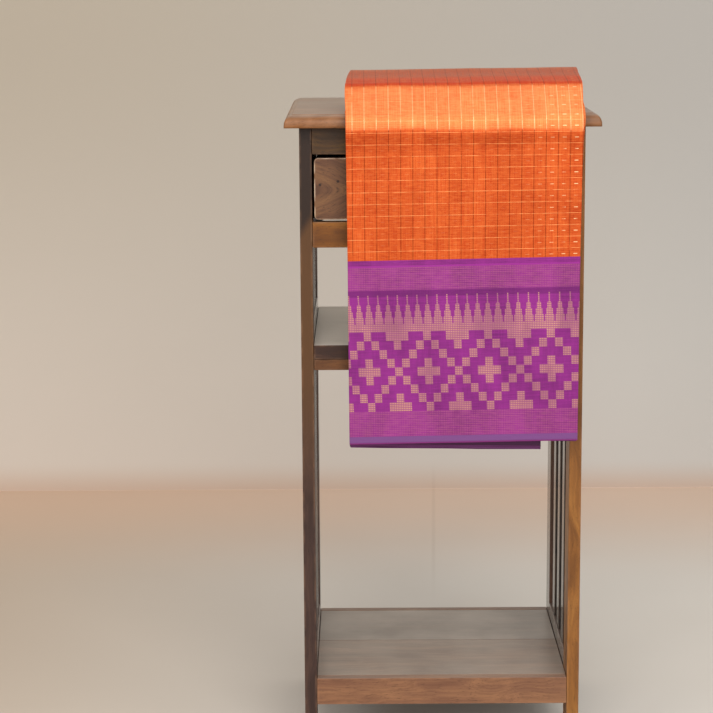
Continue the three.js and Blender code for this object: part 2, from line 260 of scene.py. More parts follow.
def on_sweep(length):
    """The place on the sweep after a length from its front edge, as Y and Z."""
    if length <= SWEEP_FLAT:
        return SWEEP_FRONT + length, 0.0
    angle = min((length - SWEEP_FLAT) / SWEEP_RADIUS, math.pi / 2)
    upright = max(length - SWEEP_FLAT - SWEEP_ROUND, 0.0)
    y = SWEEP_WALL - SWEEP_RADIUS + SWEEP_RADIUS * math.sin(angle)
    return y, SWEEP_RADIUS * (1 - math.cos(angle)) + upright


def sweep_length(share):
    """Rows are close together round the bend: a third of them lie there."""
    if share < 1 / 3:
        return SWEEP_FLAT * share * 3
    if share < 2 / 3:
        return SWEEP_FLAT + SWEEP_ROUND * (share * 3 - 1)
    return SWEEP_FLAT + SWEEP_ROUND + (SWEEP_HEIGHT - SWEEP_RADIUS) * (share * 3 - 2)


def paper_sweep():
    paper = bmesh.new()
    bmesh.ops.create_grid(paper, x_segments=1, y_segments=SWEEP_ROWS, size=0.5)
    for vertex in paper.verts:
        y, z = on_sweep(sweep_length(vertex.co.y + 0.5))
        vertex.co = (vertex.co.x * SWEEP_WIDTH, y, z)
    mesh = bpy.data.meshes.new("paper_sweep")
    paper.to_mesh(mesh)
    paper.free()
    mesh.shade_smooth()
    return mesh


sweep = bpy.data.objects.new("paper_sweep", paper_sweep())
bpy.context.scene.collection.objects.link(sweep)
print("paper sweep of", len(sweep.data.polygons), "strips")

# %% The paper's material
# The wall is painted darker towards its top, and the floor darker at the left and paler towards the middle:
# painted light and shade. The warmer, darker strips where the floor meets the wall are painted shade.
WALL_LOW = (tint("d3cac0"), tint("c6c5c2"))  # the colours at the left and at the right
WALL_HIGH = (tint("b3a99a"), tint("afadaa"))
FLOOR = (tint("c2b19f"), tint("dcd7d0"))
FLOOR_FOOT = tint("dab89e")  # the warmer strip where the floor meets the wall
WALL_FOOT = tint("c2a48e")
CREASE_SLOPE = 0.0343  # how much the paper's faint fold leans
CREASE_SHADE_COLOUR = tint("8a7460")


def paper_colour(graph, place):
    parts = graph.parts(place)
    to_right = graph.rise(parts["X"], -0.9, 0.9)
    up = graph.rise(parts["Z"], 0.0, 0.95)
    wall = graph.mix(up, graph.mix(to_right, *WALL_LOW), graph.mix(to_right, *WALL_HIGH))
    floor = graph.mix(graph.rise(parts["X"], -0.9, 0.1), *FLOOR)
    low = graph.fall(parts["Z"], -0.01, 0.06)
    # Painted shade at the foot of the wall and on the floor near it.
    wall = graph.layers(wall, (low, 0.7, WALL_FOOT))
    floor = graph.layers(floor, (graph.rise(parts["Y"], 0.6, 1.25), 0.7, FLOOR_FOOT))
    colour = graph.mix(graph.rise(parts["Z"], 0.0, 0.001), floor, wall)
    cloud = graph.noise(place, stretch=(1.6, 2.6, 2.2), detail=3.0)
    # A faint fold in the paper, towards the wall, drawn as a thin line of painted shade.
    slanted = graph.scaled(parts["Y"], -CREASE_SLOPE, parts["X"])
    from_fold = graph.math("ABSOLUTE", graph.plus(slanted, 0.006))
    near_wall = graph.times(graph.rise(parts["Y"], 0.5, 0.9), low)
    fold = graph.times(graph.fall(from_fold, 0.001, 0.005), near_wall)
    return graph.layers(colour, (cloud, 0.2, WALL_HIGH[0]), (fold, 0.1, CREASE_SHADE_COLOUR))


def paper_material():
    material, graph, shader = new_material("paper", Roughness=0.95, Specular_IOR_Level=0.1)
    place = graph.node("TexCoord").outputs["Object"]
    graph.give(shader, Base_Color=paper_colour(graph, place))
    # Seen from behind, the paper is clear.
    output = material.node_tree.nodes["Material Output"]
    paper = material.node_tree.nodes["Principled BSDF"].outputs[0]
    clear = graph.node("BsdfTransparent").outputs[0]
    behind = graph.node("NewGeometry").outputs["Backfacing"]
    graph.put(output.inputs["Surface"], graph.node("MixShader", behind, paper, clear).outputs[0])
    return material


sweep.data.materials.append(paper_material())
print("wall from", [round(c, 3) for c in WALL_LOW[0]], "to", [round(c, 3) for c in WALL_HIGH[0]])

# %% [markdown]
# ## The light
#
# A wide softbox stands in front and high up. The cloth that slopes over the table's edge faces it, so
# that part shines and what lies flat stays darker, and the silk's colour adds a painted sheen on that
# slope. The others fill in from the sides and further back. Their size keeps every shadow soft, and the
# world adds an even glow.

# %% The lights
SOFTBOXES = [
    # name, place, aimed at, width, height, watts, colour
    ("front_high", (0.1, -2.5, 2.9), (0.0, 0.0, 0.8), 2.2, 1.2, 58.0, "fffcf8"),
    ("right_high", (1.3, -1.4, 2.9), (0.0, 0.0, 0.8), 1.0, 1.0, 8.0, "fffcf8"),
    ("front_left", (-2.4, -2.6, 1.6), (0.0, 0.0, 0.5), 1.4, 1.6, 28.0, "ffffff"),
    ("front_fill", (0.8, -5.0, 2.2), (0.0, 0.5, 0.6), 3.0, 2.0, 62.0, "ffffff"),
]
WORLD_GLOW = tint("e6e4e2")
WORLD_STRENGTH = 0.8

for name, place, aim, width, height, watts, code in SOFTBOXES:
    light = bpy.data.lights.new(name, "AREA")
    light.shape = "RECTANGLE"
    light.size, light.size_y = width, height
    light.energy = watts
    light.color = tint(code)
    lamp = bpy.data.objects.new(name, light)
    lamp.location = place
    lamp.rotation_euler = (Vector(aim) - Vector(place)).to_track_quat("-Z", "Y").to_euler()
    bpy.context.scene.collection.objects.link(lamp)

world = bpy.data.worlds.new("studio")
world.use_nodes = True
background = world.node_tree.nodes["Background"].inputs
background["Color"].default_value = (*WORLD_GLOW, 1.0)
background["Strength"].default_value = WORLD_STRENGTH
bpy.context.scene.world = world
print(len(SOFTBOXES), "softboxes")

# %% [markdown]
# ## Wood: grain, wear, and dust with painted sheen
#
# The stand is of an open-grained brown hardwood with a thin satin varnish. Three effects make its look,
# and every board shares them, so each is a node group. Grain is noise stretched along the board and
# bent a little. Wear is paler wood where an edge has been rubbed: each board carries a value named
# edge, which is 1 on its bevels and fades to 0 a few millimetres in. Dust dulls what faces up; where it
# is laid on thick, on the boards that lie flat, it is also a painted sheen, the pale grey of their varnish
# at a grazing look.


# %% The grain group
def grain_group():
    """Grain that runs along X. Tone is the growth bands, Streaks the fine lines, Pores short dark dashes."""
    inputs = {"Vector": "Vector", "Bend": "Float"}
    outputs = {"Tone": "Float", "Streaks": "Float", "Pores": "Float"}
    graph, given, result = new_group("wood_grain", inputs, outputs)
    place = given["Vector"]
    wander = graph.noise(place, stretch=(7.0, 16.0, 16.0), detail=2.0)
    shift = graph.times(graph.minus(wander, 0.5), given["Bend"])
    bent = graph.vector("ADD", place, graph.joined(0.0, shift, shift))
    bands = graph.noise(bent, stretch=(2.0, 70.0, 70.0), detail=3.0, roughness=0.6)
    figure = graph.noise(bent, stretch=(9.0, 24.0, 24.0), detail=2.0, roughness=0.6)
    streaks = graph.noise(bent, stretch=(10.0, 420.0, 420.0), detail=2.0)
    pores = graph.noise(bent, stretch=(120.0, 1500.0, 1500.0), detail=1.0)
    tone = graph.scaled(bands, 0.6, graph.times(figure, 0.4))
    graph.give(result, Tone=graph.rise(tone, 0.3, 0.7), Streaks=graph.rise(streaks, 0.3, 0.7))
    graph.give(result, Pores=graph.rise(pores, 0.62, 0.72))
    return graph.tree


GRAIN = grain_group()
print(GRAIN.name, "has", len(GRAIN.nodes), "nodes")


# %% The wear and dust groups
def wear_group():
    graph, given, result = new_group("edge_wear", {"Vector": "Vector", "Edge": "Float"}, {"Mask": "Float"})
    patches = graph.noise(given["Vector"], stretch=(60.0, 60.0, 60.0), detail=3.0)
    graph.give(result, Mask=graph.times(given["Edge"], graph.rise(patches, 0.35, 0.65)))
    return graph.tree


# A pale veil on what faces up: dust, and where it is laid on thick a painted sheen.
def dust_and_sheen_group():
    graph, given, result = new_group("dust", {"Vector": "Vector"}, {"Mask": "Float"})
    cloud = graph.noise(given["Vector"], stretch=(11.0, 11.0, 11.0), detail=4.0)
    graph.give(result, Mask=graph.times(graph.rise(graph.upward(), 0.6, 1.0), cloud))
    return graph.tree


WEAR = wear_group()
DUST_AND_SHEEN = dust_and_sheen_group()
print("groups:", WEAR.name, DUST_AND_SHEEN.name)

# %% The wood material
WORN_WOOD = tint("a98062")
DUST_AND_SHEEN_COLOUR = tint("b9afa4")
AXES = {"x": "XYZ", "y": "YXZ", "z": "ZYX"}  # the order that brings the grain's direction first
FINISH = dict(Coat_IOR=1.55, Specular_IOR_Level=0.3, IOR=1.5)
WOOD_ROUGHNESS = 0.4


def knot_mask(graph, place, knots):
    """Small dark knots, each a place in millimetres and a radius."""
    mask = 0.0
    for x, y, z, radius in knots:
        away = graph.vector("SUBTRACT", place, (x * MM, y * MM, z * MM))
        far = graph.node("VectorMath", away, operation="LENGTH").outputs["Value"]
        mask = graph.most(graph.fall(far, radius * 0.3 * MM, radius * MM), mask)
    return mask


def add_zones(graph, place, colour, zones):
    """Changes of colour along an upright: a height, its slant along X, its softness, and a colour."""
    parts = graph.parts(place)
    for height, slant, soft, code in zones:
        level = graph.scaled(parts["X"], slant, parts["Z"])
        above = graph.rise(level, height - soft, height + soft)
        colour = graph.layers(colour, (above, 0.85, tint(code)))
    return colour


def mirrored(graph, place, heart):
    """Grain that runs into a point at the height of the heart, and away from it above and below."""
    parts = graph.parts(place)
    away = graph.minus(parts["Z"], heart)
    rounded = graph.math("SQRT", graph.scaled(away, away, (5 * MM) ** 2))
    return graph.joined(parts["X"], parts["Y"], rounded)


def wood_material(
    name, grain, dark, mid, light, wear=0.2, dust=0.2, bend=0.05, edge_colour=WORN_WOOD,
    tilt=0.0, heart=None, knots=(), zones=(), coat=0.5, coat_rough=0.3, sides=0.12,
):
    """Wood whose grain runs along an axis. coat is the varnish on what faces up, sides on what stands."""
    material, graph, shader = new_material(name, Coat_Roughness=coat_rough, **FINISH)
    place = graph.node("TexCoord").outputs["Object"]
    moved = mirrored(graph, place, heart) if heart else graph.vector("ADD", place, graph.attribute("board"))
    turned = graph.node("VectorRotate", moved, rotation_type="Y_AXIS")
    turned.inputs["Angle"].default_value = math.radians(tilt)
    own = graph.parts(turned.outputs[0])
    along = graph.joined(*(own[axis] for axis in AXES[grain]))
    lines = graph.use(GRAIN, Vector=along, Bend=bend)
    dark = tint(dark)
    pore = tuple(c * 0.4 for c in dark)
    colour = graph.ramp(lines["Tone"], [(0.0, dark), (0.5, tint(mid)), (1.0, tint(light))])
    colour = graph.layers(colour, (lines["Streaks"], 0.4, dark), (lines["Pores"], 0.6, pore))
    colour = add_zones(graph, place, colour, zones)
    edge_mask = graph.use(WEAR, Vector=along, Edge=graph.attribute("edge", "Fac"))["Mask"]
    dust_and_sheen_mask = graph.use(DUST_AND_SHEEN, Vector=place)["Mask"]
    spots = knot_mask(graph, place, knots)
    colour = graph.layers(colour, (spots, 1.0, pore), (edge_mask, wear, edge_colour), (dust_and_sheen_mask, dust, DUST_AND_SHEEN_COLOUR))
    varnish = graph.scaled(graph.rise(graph.upward(), 0.5, 1.0), coat, sides)
    height = graph.minus(graph.times(lines["Streaks"], -0.4), lines["Pores"])
    graph.give(
        shader, Base_Color=colour, Roughness=graph.scaled(lines["Streaks"], 0.1, WOOD_ROUGHNESS),
        Coat_Weight=graph.scaled(edge_mask, -0.1, varnish), Normal=graph.relief(height, 0.25, 0.0002),
    )
    return material


# %% The stand's woods
LEFT_ZONES = ((0.42, 0.0, 0.12, "583818"), (0.939, -1.45, 0.012, "160a08"))
SHINY_SIDES = dict(wear=0.1, coat=0.1, coat_rough=0.14, sides=0.85)  # the side frames, which hands rub less
# Boards of the same tree differ, and so do those of this stand.
WOODS = [
    # name, grain direction, dark, mid, light, what differs from plain wood
    ("right_upright", "z", "683e14", "8a5824", "a06c30", {}),
    ("olive_rail", "x", "2a1a0a", "4a3012", "604418", {}),
    ("golden_rail", "x", "583008", "7c4a12", "96601c", {}),
    ("brown_rail", "x", "4a2a14", "684020", "80522c", {}),
    ("red_rail", "x", "603c2a", "7e563e", "946848", {}),
    ("drawer_wood", "y", "6a5038", "94745a", "b4947a", {}),
    ("left_upright", "z", "2a1812", "3c2822", "4e362c", dict(zones=LEFT_ZONES)),
    # On the boards that lie flat the dust is laid on thick: dust, and a painted sheen, the pale grey that
    # their varnish shows at a grazing look.
    ("board", "x", "301c16", "442c22", "624636", dict(dust=1.0, coat=0.88)),
    ("side_wood", "z", "2e1f18", "4a3226", "604232", SHINY_SIDES),
    ("side_rail", "y", "2e1f18", "4a3226", "604232", SHINY_SIDES),
    # The slats are painted almost black: painted shade, as they stand in shadow inside the side frames.
    ("slat_wood", "z", "0e0806", "1a110c", "281a13", SHINY_SIDES),
    ("mid_board", "x", "2a1610", "3c241a", "583c2c", dict(dust=1.9, coat=0.95)),
    ("front_board", "x", "4a3020", "6e4e38", "8e6a50", dict(dust=0.6, coat=0.88)),
]
wood = {name: wood_material(name, *look, **finish) for name, *look, finish in WOODS}
print(len(wood), "woods")

# %% [markdown]
# ## Boards
#
# Nearly all of the stand is straight boards. A board is a cube scaled to its node's box, with its edges
# bevelled, because real edges are sanded and catch the light. The large faces are then inset, which
# gives the wear a rim to fade across. The same function makes all of them.

# %% A function for boards
EDGE_BEVEL = 0.8 * MM
WEAR_REACH = 2.0 * MM


def new_piece(name, shape, material, node_names):
    """Turns a bmesh into a piece that rides on the stand and replaces its nodes."""
    mesh = bpy.data.meshes.new(name)
    shape.to_mesh(mesh)
    shape.free()
    mesh.materials.append(material)
    piece = bpy.data.objects.new(name, mesh)
    bpy.context.scene.collection.objects.link(piece)
    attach(piece, "root")
    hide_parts(*node_names)
    return piece


def wood_shape():
    """A new bmesh with the two values that the wood reads: edge, and an own shift of the grain."""
    shape = bmesh.new()
    shape.verts.layers.float.new("edge")
    shape.verts.layers.float_vector.new("board")
    return shape


def mark(shape, number, inner_vertices):
    edge = shape.verts.layers.float["edge"]
    shift = shape.verts.layers.float_vector["board"]
    inner = set(inner_vertices)
    for vertex in shape.verts:
        vertex[edge] = 0.0 if vertex in inner else 1.0
        vertex[shift] = Vector((0.37, 0.53, 0.71)) * number


def add_block(shape, low, high):
    bmesh.ops.create_cube(shape, size=1.0)
    bmesh.ops.scale(shape, vec=high - low, verts=shape.verts)
    bmesh.ops.translate(shape, vec=(low + high) / 2, verts=shape.verts)


def round_edges(shape, edges, offset, segments=3):
    bmesh.ops.bevel(
        shape, geom=edges, offset=offset, segments=segments, profile=0.5, affect="EDGES", material=-1
    )


def inset_flats(shape, reach=WEAR_REACH):
    """Insets the flat faces that are wide enough, and returns the vertices of what is left inside."""
    flats = [
        face for face in shape.faces
        if max(abs(part) for part in face.normal) > 0.999
        and min(edge.calc_length() for edge in face.edges) > 2.5 * reach
    ]
    bmesh.ops.inset_individual(shape, faces=flats, thickness=reach, use_even_offset=True)
    return {vertex for face in flats for vertex in face.verts}


def board(node, number, material):
    shape = wood_shape()
    add_block(shape, *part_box(node))
    round_edges(shape, shape.edges[:], EDGE_BEVEL)
    mark(shape, number, inset_flats(shape))
    return new_piece(node + "_board", shape, material, [node])


# %% Which wood each board is of
WOOD_OF = [
    # the start of the node's name, and its wood; the first row that fits is used
    ("leg_front_left", "left_upright"),
    ("leg_front_right", "right_upright"),
    ("leg_back", "side_wood"),
    ("slat", "slat_wood"),
    ("side_panel", "side_rail"),
    ("mid_side_rail", "side_rail"),
    ("low_side_rail", "side_rail"),
    ("runner", "side_rail"),
    ("rail_over_drawer", "olive_rail"),
    ("rail_under_drawer", "golden_rail"),
    ("mid_rail", "brown_rail"),
    ("low_rail", "red_rail"),
    ("drawer_side", "drawer_wood"),
    ("drawer_bottom", "drawer_wood"),
    ("drawer_back", "drawer_wood"),
    ("back_panel", "brown_rail"),
    ("mid_shelf", "mid_board"),
    ("low_shelf_front", "front_board"),
    ("low_shelf_rear", "board"),
]
SHAPED_NODES = ("table_top", "drawer_front", "drawer_knob")
boards = []
for node in NODES:
    if node in SHAPED_NODES or node.startswith("saree"):
        continue
    kind = next(kind for start, kind in WOOD_OF if node.startswith(start))
    boards.append(board(node, len(boards), wood[kind]))
print(len(boards), "boards")

# %% [markdown]
# ## The tabletop
#
# The tabletop overhangs the frame all round. Its edge is a moulding: a narrow upright lip below, then a
# quarter of an ellipse that rolls back to the top. It starts as a thin slab. The top face is then inset
# and raised by small steps, each following the ellipse, and a last small step leaves the fine line where
# the moulding meets the flat. The mitred corners are rounded at the end.

# %% The tabletop's shape
TOP_LIP = 2.5 * MM
TOP_ROUND = 11.0 * MM
TOP_CORNER = 2.5 * MM
TOP_STEP = 0.9 * MM
ROUND_STEPS = 9


def raise_inset(shape, face, inwards, up):
    """Insets a face by a distance and lifts it."""
    bmesh.ops.inset_individual(shape, faces=[face], thickness=inwards, depth=up, use_even_offset=True)


def is_corner(edge):
    """Whether an edge runs up a corner and not along a side."""
    run = edge.verts[1].co - edge.verts[0].co
    return min(abs(run.x), abs(run.y)) > 0.6 * max(abs(run.x), abs(run.y)) or run.xy.length < 0.1 * abs(run.z)


def tabletop_shape():
    low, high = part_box("table_top")
    shape = wood_shape()
    add_block(shape, low, Vector((high.x, high.y, low.z + TOP_LIP)))
    top = max(shape.faces, key=lambda face: face.calc_center_median().z)
    height = high.z - low.z - TOP_LIP - TOP_STEP
    inwards = lifted = 0.0
    for step in range(1, ROUND_STEPS + 1):
        angle = step / ROUND_STEPS * math.pi / 2
        reach, rise = (TOP_ROUND - TOP_STEP) * (1 - math.cos(angle)), height * math.sin(angle)
        raise_inset(shape, top, reach - inwards, rise - lifted)
        inwards, lifted = reach, rise
    raise_inset(shape, top, TOP_STEP * 0.3, TOP_STEP * 0.8)
    raise_inset(shape, top, TOP_STEP * 0.7, TOP_STEP * 0.2)
    raise_inset(shape, top, WEAR_REACH, 0.0)
    round_edges(shape, [edge for edge in shape.edges if is_corner(edge)], TOP_CORNER, segments=4)
    return shape, high.z


def tabletop():
    shape, height = tabletop_shape()
    low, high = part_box("table_top")
    reach = TOP_ROUND + WEAR_REACH * 0.9
    flat = [
        v for v in shape.verts
        if v.co.z > height - 0.1 * MM and low.x + reach < v.co.x < high.x - reach
    ]
    mark(shape, 50, flat)
    piece = new_piece("table_top_board", shape, wood["top"], ["table_top"])
    for polygon in piece.data.polygons:
        polygon.use_smooth = abs(polygon.normal.z) < 0.999
    return piece


wood["top"] = wood_material(
    "top", "x", "54300f", "78491f", "905a2e", wear=0.25, dust=0.5, edge_colour=tint("a87c5c"),
    coat=0.85, coat_rough=0.4,
)
top_piece = tabletop()
print("tabletop of", len(top_piece.data.polygons), "faces")

# %% [markdown]
# ## The drawer front and its knob
#
# The drawer front is a plank with rounded corners and a chamfer all round its face, painted pale: worn
# wood, and a painted highlight where the edge catches the light. It is a cube whose four edges along the
# depth are rounded first, and whose front rim is then chamfered. The knob is turned on a lathe: half its
# profile is drawn, and spun round its axis.

# %% The drawer front
DRAWER_CORNER = 5.0 * MM
DRAWER_CHAMFER = 1.0 * MM
DRAWER_SHY = Vector((0.7 * MM, 0.0, 1.4 * MM))  # the face is a little smaller than its opening
DRAWER_KNOTS = ((-129.3, -146.8, 748.6, 2.6), (-151.6, -146.8, 744.4, 2.6))  # on the drawer's face


def drawer_front():
    low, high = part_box("drawer_front")
    shape = wood_shape()
    add_block(shape, low + Vector((DRAWER_SHY.x, 0.0, 0.0)), high - DRAWER_SHY)
    deep = [e for e in shape.edges if abs(e.verts[0].co.y - e.verts[1].co.y) > 1 * MM]
    round_edges(shape, deep, DRAWER_CORNER, segments=6)
    face = min(shape.faces, key=lambda f: f.calc_center_median().y)
    round_edges(shape, face.edges[:], DRAWER_CHAMFER)
    face = min(shape.faces, key=lambda f: f.calc_center_median().y)
    rim = {v for v in shape.verts if v.co.y < low.y + DRAWER_CHAMFER * 0.9}
    bmesh.ops.inset_individual(shape, faces=[face], thickness=0.5 * MM, use_even_offset=True)
    mark(shape, 51, [v for v in shape.verts if v not in rim or v in face.verts])
    return new_piece("drawer_front_board", shape, wood["drawer_face"], ["drawer_front"])


# Its chamfer is painted pale: wear, and a painted highlight where the edge catches the light.
wood["drawer_face"] = wood_material(
    "drawer_face", "x", "40261a", "62402a", "7c5636", wear=0.8, bend=0.08, edge_colour=tint("d0b59a"),
    tilt=-24.0, heart=0.738, knots=DRAWER_KNOTS,
)
front_piece = drawer_front()
print("drawer front of", len(front_piece.data.polygons), "faces")

# %% The knob
# how far from the axis, and how far out from the drawer, in millimetres
KNOB_PROFILE = [
    (0.0, 0.0), (6.0, 0.0), (5.0, 4.0), (6.2, 6.2), (9.0, 8.0),
    (10.0, 11.0), (9.2, 13.2), (7.0, 14.3), (0.0, 15.0),
]
KNOB_SIDES = 32


def knob():
    low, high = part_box("drawer_knob")
    axis = Vector(((low.x + high.x) / 2, high.y, (low.z + high.z) / 2))
    shape = wood_shape()
    points = [shape.verts.new(axis + Vector((radius, -out, 0.0)) * MM) for radius, out in KNOB_PROFILE]
    for start, end in zip(points, points[1:]):
        shape.edges.new((start, end))
    bmesh.ops.spin(
        shape, geom=shape.verts[:] + shape.edges[:], cent=axis, axis=(0.0, 1.0, 0.0),
        angle=2 * math.pi, steps=KNOB_SIDES, use_merge=True,
    )
    bmesh.ops.remove_doubles(shape, verts=shape.verts, dist=0.01 * MM)
    bmesh.ops.recalc_face_normals(shape, faces=shape.faces)
    rim = [v for v in shape.verts if (v.co - axis).xz.length > 9.5 * MM]
    mark(shape, 52, [v for v in shape.verts if v not in rim])
    piece = new_piece("drawer_knob_turned", shape, wood["brown_rail"], ["drawer_knob"])
    piece.data.shade_smooth()
    return piece


knob_piece = knob()
print("knob of", len(knob_piece.data.polygons), "faces")

# %% [markdown]
# ## The bundle's path
#
# The bundle hangs in front, goes up over the tabletop's edge, lies on the tabletop, turns round the back
# fold and comes back under itself to hang behind. The table below has a row for each place where that
# path is known, and a smooth curve is drawn through the rows. At each point of the path there is an
# outer face and a core, the line where the front and rear halves of the bundle meet. Any layer in the
# bundle is then found by how deep it lies between the two.

# %% The sections, in millimetres
# out, up: where the seen face passes, in front of the tabletop's edge and over its surface.
# turn: 0 where the cloth hangs, 90 where it lies, and between them the angle round the edge.
# left, right: the side edges. rise: how much higher the cloth is towards the right, per mm.
# inner: how far the hidden layers reach past the right edge.
SECTION_COLUMNS = ("place", "out", "up", "turn", "left", "right", "rise", "inner")
SECTION_ROWS = [
    ("hem", 13.6, -408.9, 0, -117.0, 168.1, 0.0147, -1.5),
    ("border", 14.0, -292.9, 0, -117.5, 168.5, 0.0155, -1.5),
    ("seam", 14.0, -177.4, 0, -117.9, 168.9, 0.016, -1.5),
    ("hang", 14.2, -102.8, 0, -118.4, 169.8, 0.012, -1.0),
    ("tuck", 14.4, -44.7, 0, -119.0, 170.8, 0.007, 1.0),
    ("bend", 16.4, -20.6, 0, -119.2, 171.0, 0.0045, 3.0),
    ("nosing", 12.4, -5.5, 15, -119.3, 171.1, 0.0045, 4.3),
    ("slope", 1.8, 8.5, 48, -119.5, 171.3, 0.005, 3.4),
    ("brow", -13.0, 23.5, 80, -120.2, 172.2, 0.006, -1.0),
    ("crest", -28.0, 34.7, 90, -120.0, 173.0, 0.0065, -1.5),
    ("top", -46.0, 38.1, 90, -119.2, 173.5, 0.0065, -1.5),
    ("level", -90.0, 42.9, 90, -117.6, 174.5, 0.0065, -1.5),
    ("fold", -138.0, 48.1, 90, -113.4, 175.8, 0.0075, -1.5),
]
SECTIONS = [dict(zip(SECTION_COLUMNS, row)) for row in SECTION_ROWS]
TABLE_LOW, TABLE_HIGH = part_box("table_top")
TABLE_FRONT = TABLE_LOW.y / MM
TABLE_TOP = TABLE_HIGH.z / MM
TABLE_ROUND = (11.0, 14.0)  # how far the moulding reaches in and down
LAYER_GAP = 0.4
EDGE_CLEARANCE = 1.0
FOLD_DEPTH = 24.0
FOLD_STEPS = 8
REAR_HEM_RAISE = 4.0
print(len(SECTIONS), "sections on a tabletop at", round(TABLE_TOP, 1), "mm")


# %% The stations of the path
def rear_face(section):
    """Where the rear half's outer face is at a section, as y and z."""
    if section["turn"] == 0:
        return TABLE_FRONT - LAYER_GAP, TABLE_TOP + section["up"]
    if section["turn"] == 90:
        return TABLE_FRONT - section["out"], TABLE_TOP + LAYER_GAP
    angle = math.radians(section["turn"])
    inwards, height = TABLE_ROUND
    return (
        TABLE_FRONT + inwards - (inwards + EDGE_CLEARANCE) * math.cos(angle),
        TABLE_TOP - height + (height + EDGE_CLEARANCE) * math.sin(angle),
    )


def station(section, y, z, rise, core_y, core_z, core_rise):
    edges = {name: section[name] for name in ("left", "right", "inner")}
    return dict(y=y, z=z, rise=rise, core_y=core_y, core_z=core_z, core_rise=core_rise, **edges)


def path_stations():
    """The stations from the front hem over the back fold to the rear hem."""
    front, rear = [], []
    for section in SECTIONS:
        y, z, rise = TABLE_FRONT - section["out"], TABLE_TOP + section["up"], section["rise"]
        rear_y, rear_z = rear_face(section)
        rear_rise = rise if section["turn"] == 0 else 0.0
        core = ((y + rear_y) / 2, (z + rear_z) / 2, (rise + rear_rise) / 2)
        front.append(station(section, y, z, rise, *core))
        rear.append(station(section, rear_y, rear_z, rear_rise, *core))
    rear[0]["z"] += REAR_HEM_RAISE
    last = front[-1]
    half = last["z"] - last["core_z"]
    fold = []
    for step in range(1, 2 * FOLD_STEPS):
        angle = step / FOLD_STEPS * math.pi / 2
        y = last["y"] + FOLD_DEPTH * math.sin(angle)
        z = last["core_z"] + half * math.cos(angle)
        rise = last["rise"] * (0.5 + 0.5 * math.cos(angle))
        fold.append(dict(last, y=y, z=z, rise=rise))
    return front + fold + rear[::-1]


STATIONS = path_stations()
print(len(STATIONS), "stations")

# %% The smooth path through the stations
SAMPLE_SPACING = 3.0  # millimetres along the path


def spacing(a, b):
    return max(math.hypot(b["y"] - a["y"], b["z"] - a["z"]), 1.0)


def slopes(stations):
    """How fast each value changes at each station, per millimetre of path."""
    found = []
    for i, here in enumerate(stations):
        before, after = stations[max(i - 1, 0)], stations[min(i + 1, len(stations) - 1)]
        near, far = spacing(before, here), spacing(here, after)
        slope = {}
        for key in here:
            back = (here[key] - before[key]) / near
            ahead = (after[key] - here[key]) / far
            inside = 0 < i < len(stations) - 1
            slope[key] = (back * far + ahead * near) / (near + far) if inside else back + ahead
        found.append(slope)
    return found


def smooth_path(stations):
    """Points on a curve that passes through every station without a kink."""
    rates = slopes(stations)
    samples = []
    for i, (start, end) in enumerate(zip(stations, stations[1:])):
        length = spacing(start, end)
        steps = max(round(length / SAMPLE_SPACING), 1)
        for step in range(steps):
            t = step / steps
            pull = (t * (1 - t) ** 2 * length, t * t * (t - 1) * length)
            ease = t * t * (3 - 2 * t)
            sample = {}
            for key in start:
                bend = rates[i][key] * pull[0] + rates[i + 1][key] * pull[1]
                sample[key] = start[key] + (end[key] - start[key]) * ease + bend
            samples.append(sample)
    samples.append(dict(stations[-1]))
    return samples


PATH = smooth_path(STATIONS)
print(len(PATH), "samples on the path")


# %% Finding a point in the bundle
def bundle_point(sample, across, depth):
    """The point at an X and a depth under the outer face, all in millimetres, as a place in metres."""
    inwards = Vector((sample["core_y"] - sample["y"], sample["core_z"] - sample["z"]))
    share = depth / inwards.length
    y = sample["y"] + inwards.x * share
    rise = sample["rise"] + (sample["core_rise"] - sample["rise"]) * share
    z = sample["z"] + inwards.y * share + rise * across
    return Vector((across, y, z)) * MM


def half_thickness(sample):
    return math.hypot(sample["core_y"] - sample["y"], sample["core_z"] - sample["z"])


def lengths(samples):
    """How far along the outer face each sample is, in metres."""
    total, found = 0.0, []
    for before, here in zip([samples[0], *samples], samples):
        total += math.hypot(here["y"] - before["y"], here["z"] - before["z"]) * MM
        found.append(total)
    return found


ALONG = lengths(PATH)
CLOTH_WIDTH = ALONG[-1]  # the saree's own width runs along the path
print("the path is", round(CLOTH_WIDTH, 3), "m long")

# %% [markdown]
# ## The outer layer
#
# The layer that is seen is one stretch of cloth, as wide as the bundle, from the front hem round the
# back fold to the rear hem. It is a grid, bent along the path. At both sides it turns round a small
# radius and runs back inside, because those edges are folds and not cuts. Its points carry a value
# named cloth: how far across and along the cloth they are, in metres, which the weave is drawn with.

# %% The outer layer's shape
SHEET_THICKNESS = 0.5
EDGE_RADIUS = 0.8
TAIL = 7.0  # how far the cloth runs back inside
EDGE_COLUMNS = 7
MIDDLE_COLUMNS = 60
SHEET_COLUMNS = 2 * EDGE_COLUMNS + MIDDLE_COLUMNS
EDGE_LENGTH = math.pi * EDGE_RADIUS + TAIL


def edge_profile(step):
    """A point of the turned edge, from the tail's end at step 0 to the face, as inwards, depth, length."""
    turning = EDGE_COLUMNS - 1
    if step == 0:
        return EDGE_RADIUS + TAIL, 2 * EDGE_RADIUS, EDGE_LENGTH
    angle = (step - 1) / turning * math.pi
    inwards = EDGE_RADIUS - EDGE_RADIUS * math.sin(angle)
    return inwards, EDGE_RADIUS + EDGE_RADIUS * math.cos(angle), EDGE_RADIUS * (math.pi - angle)


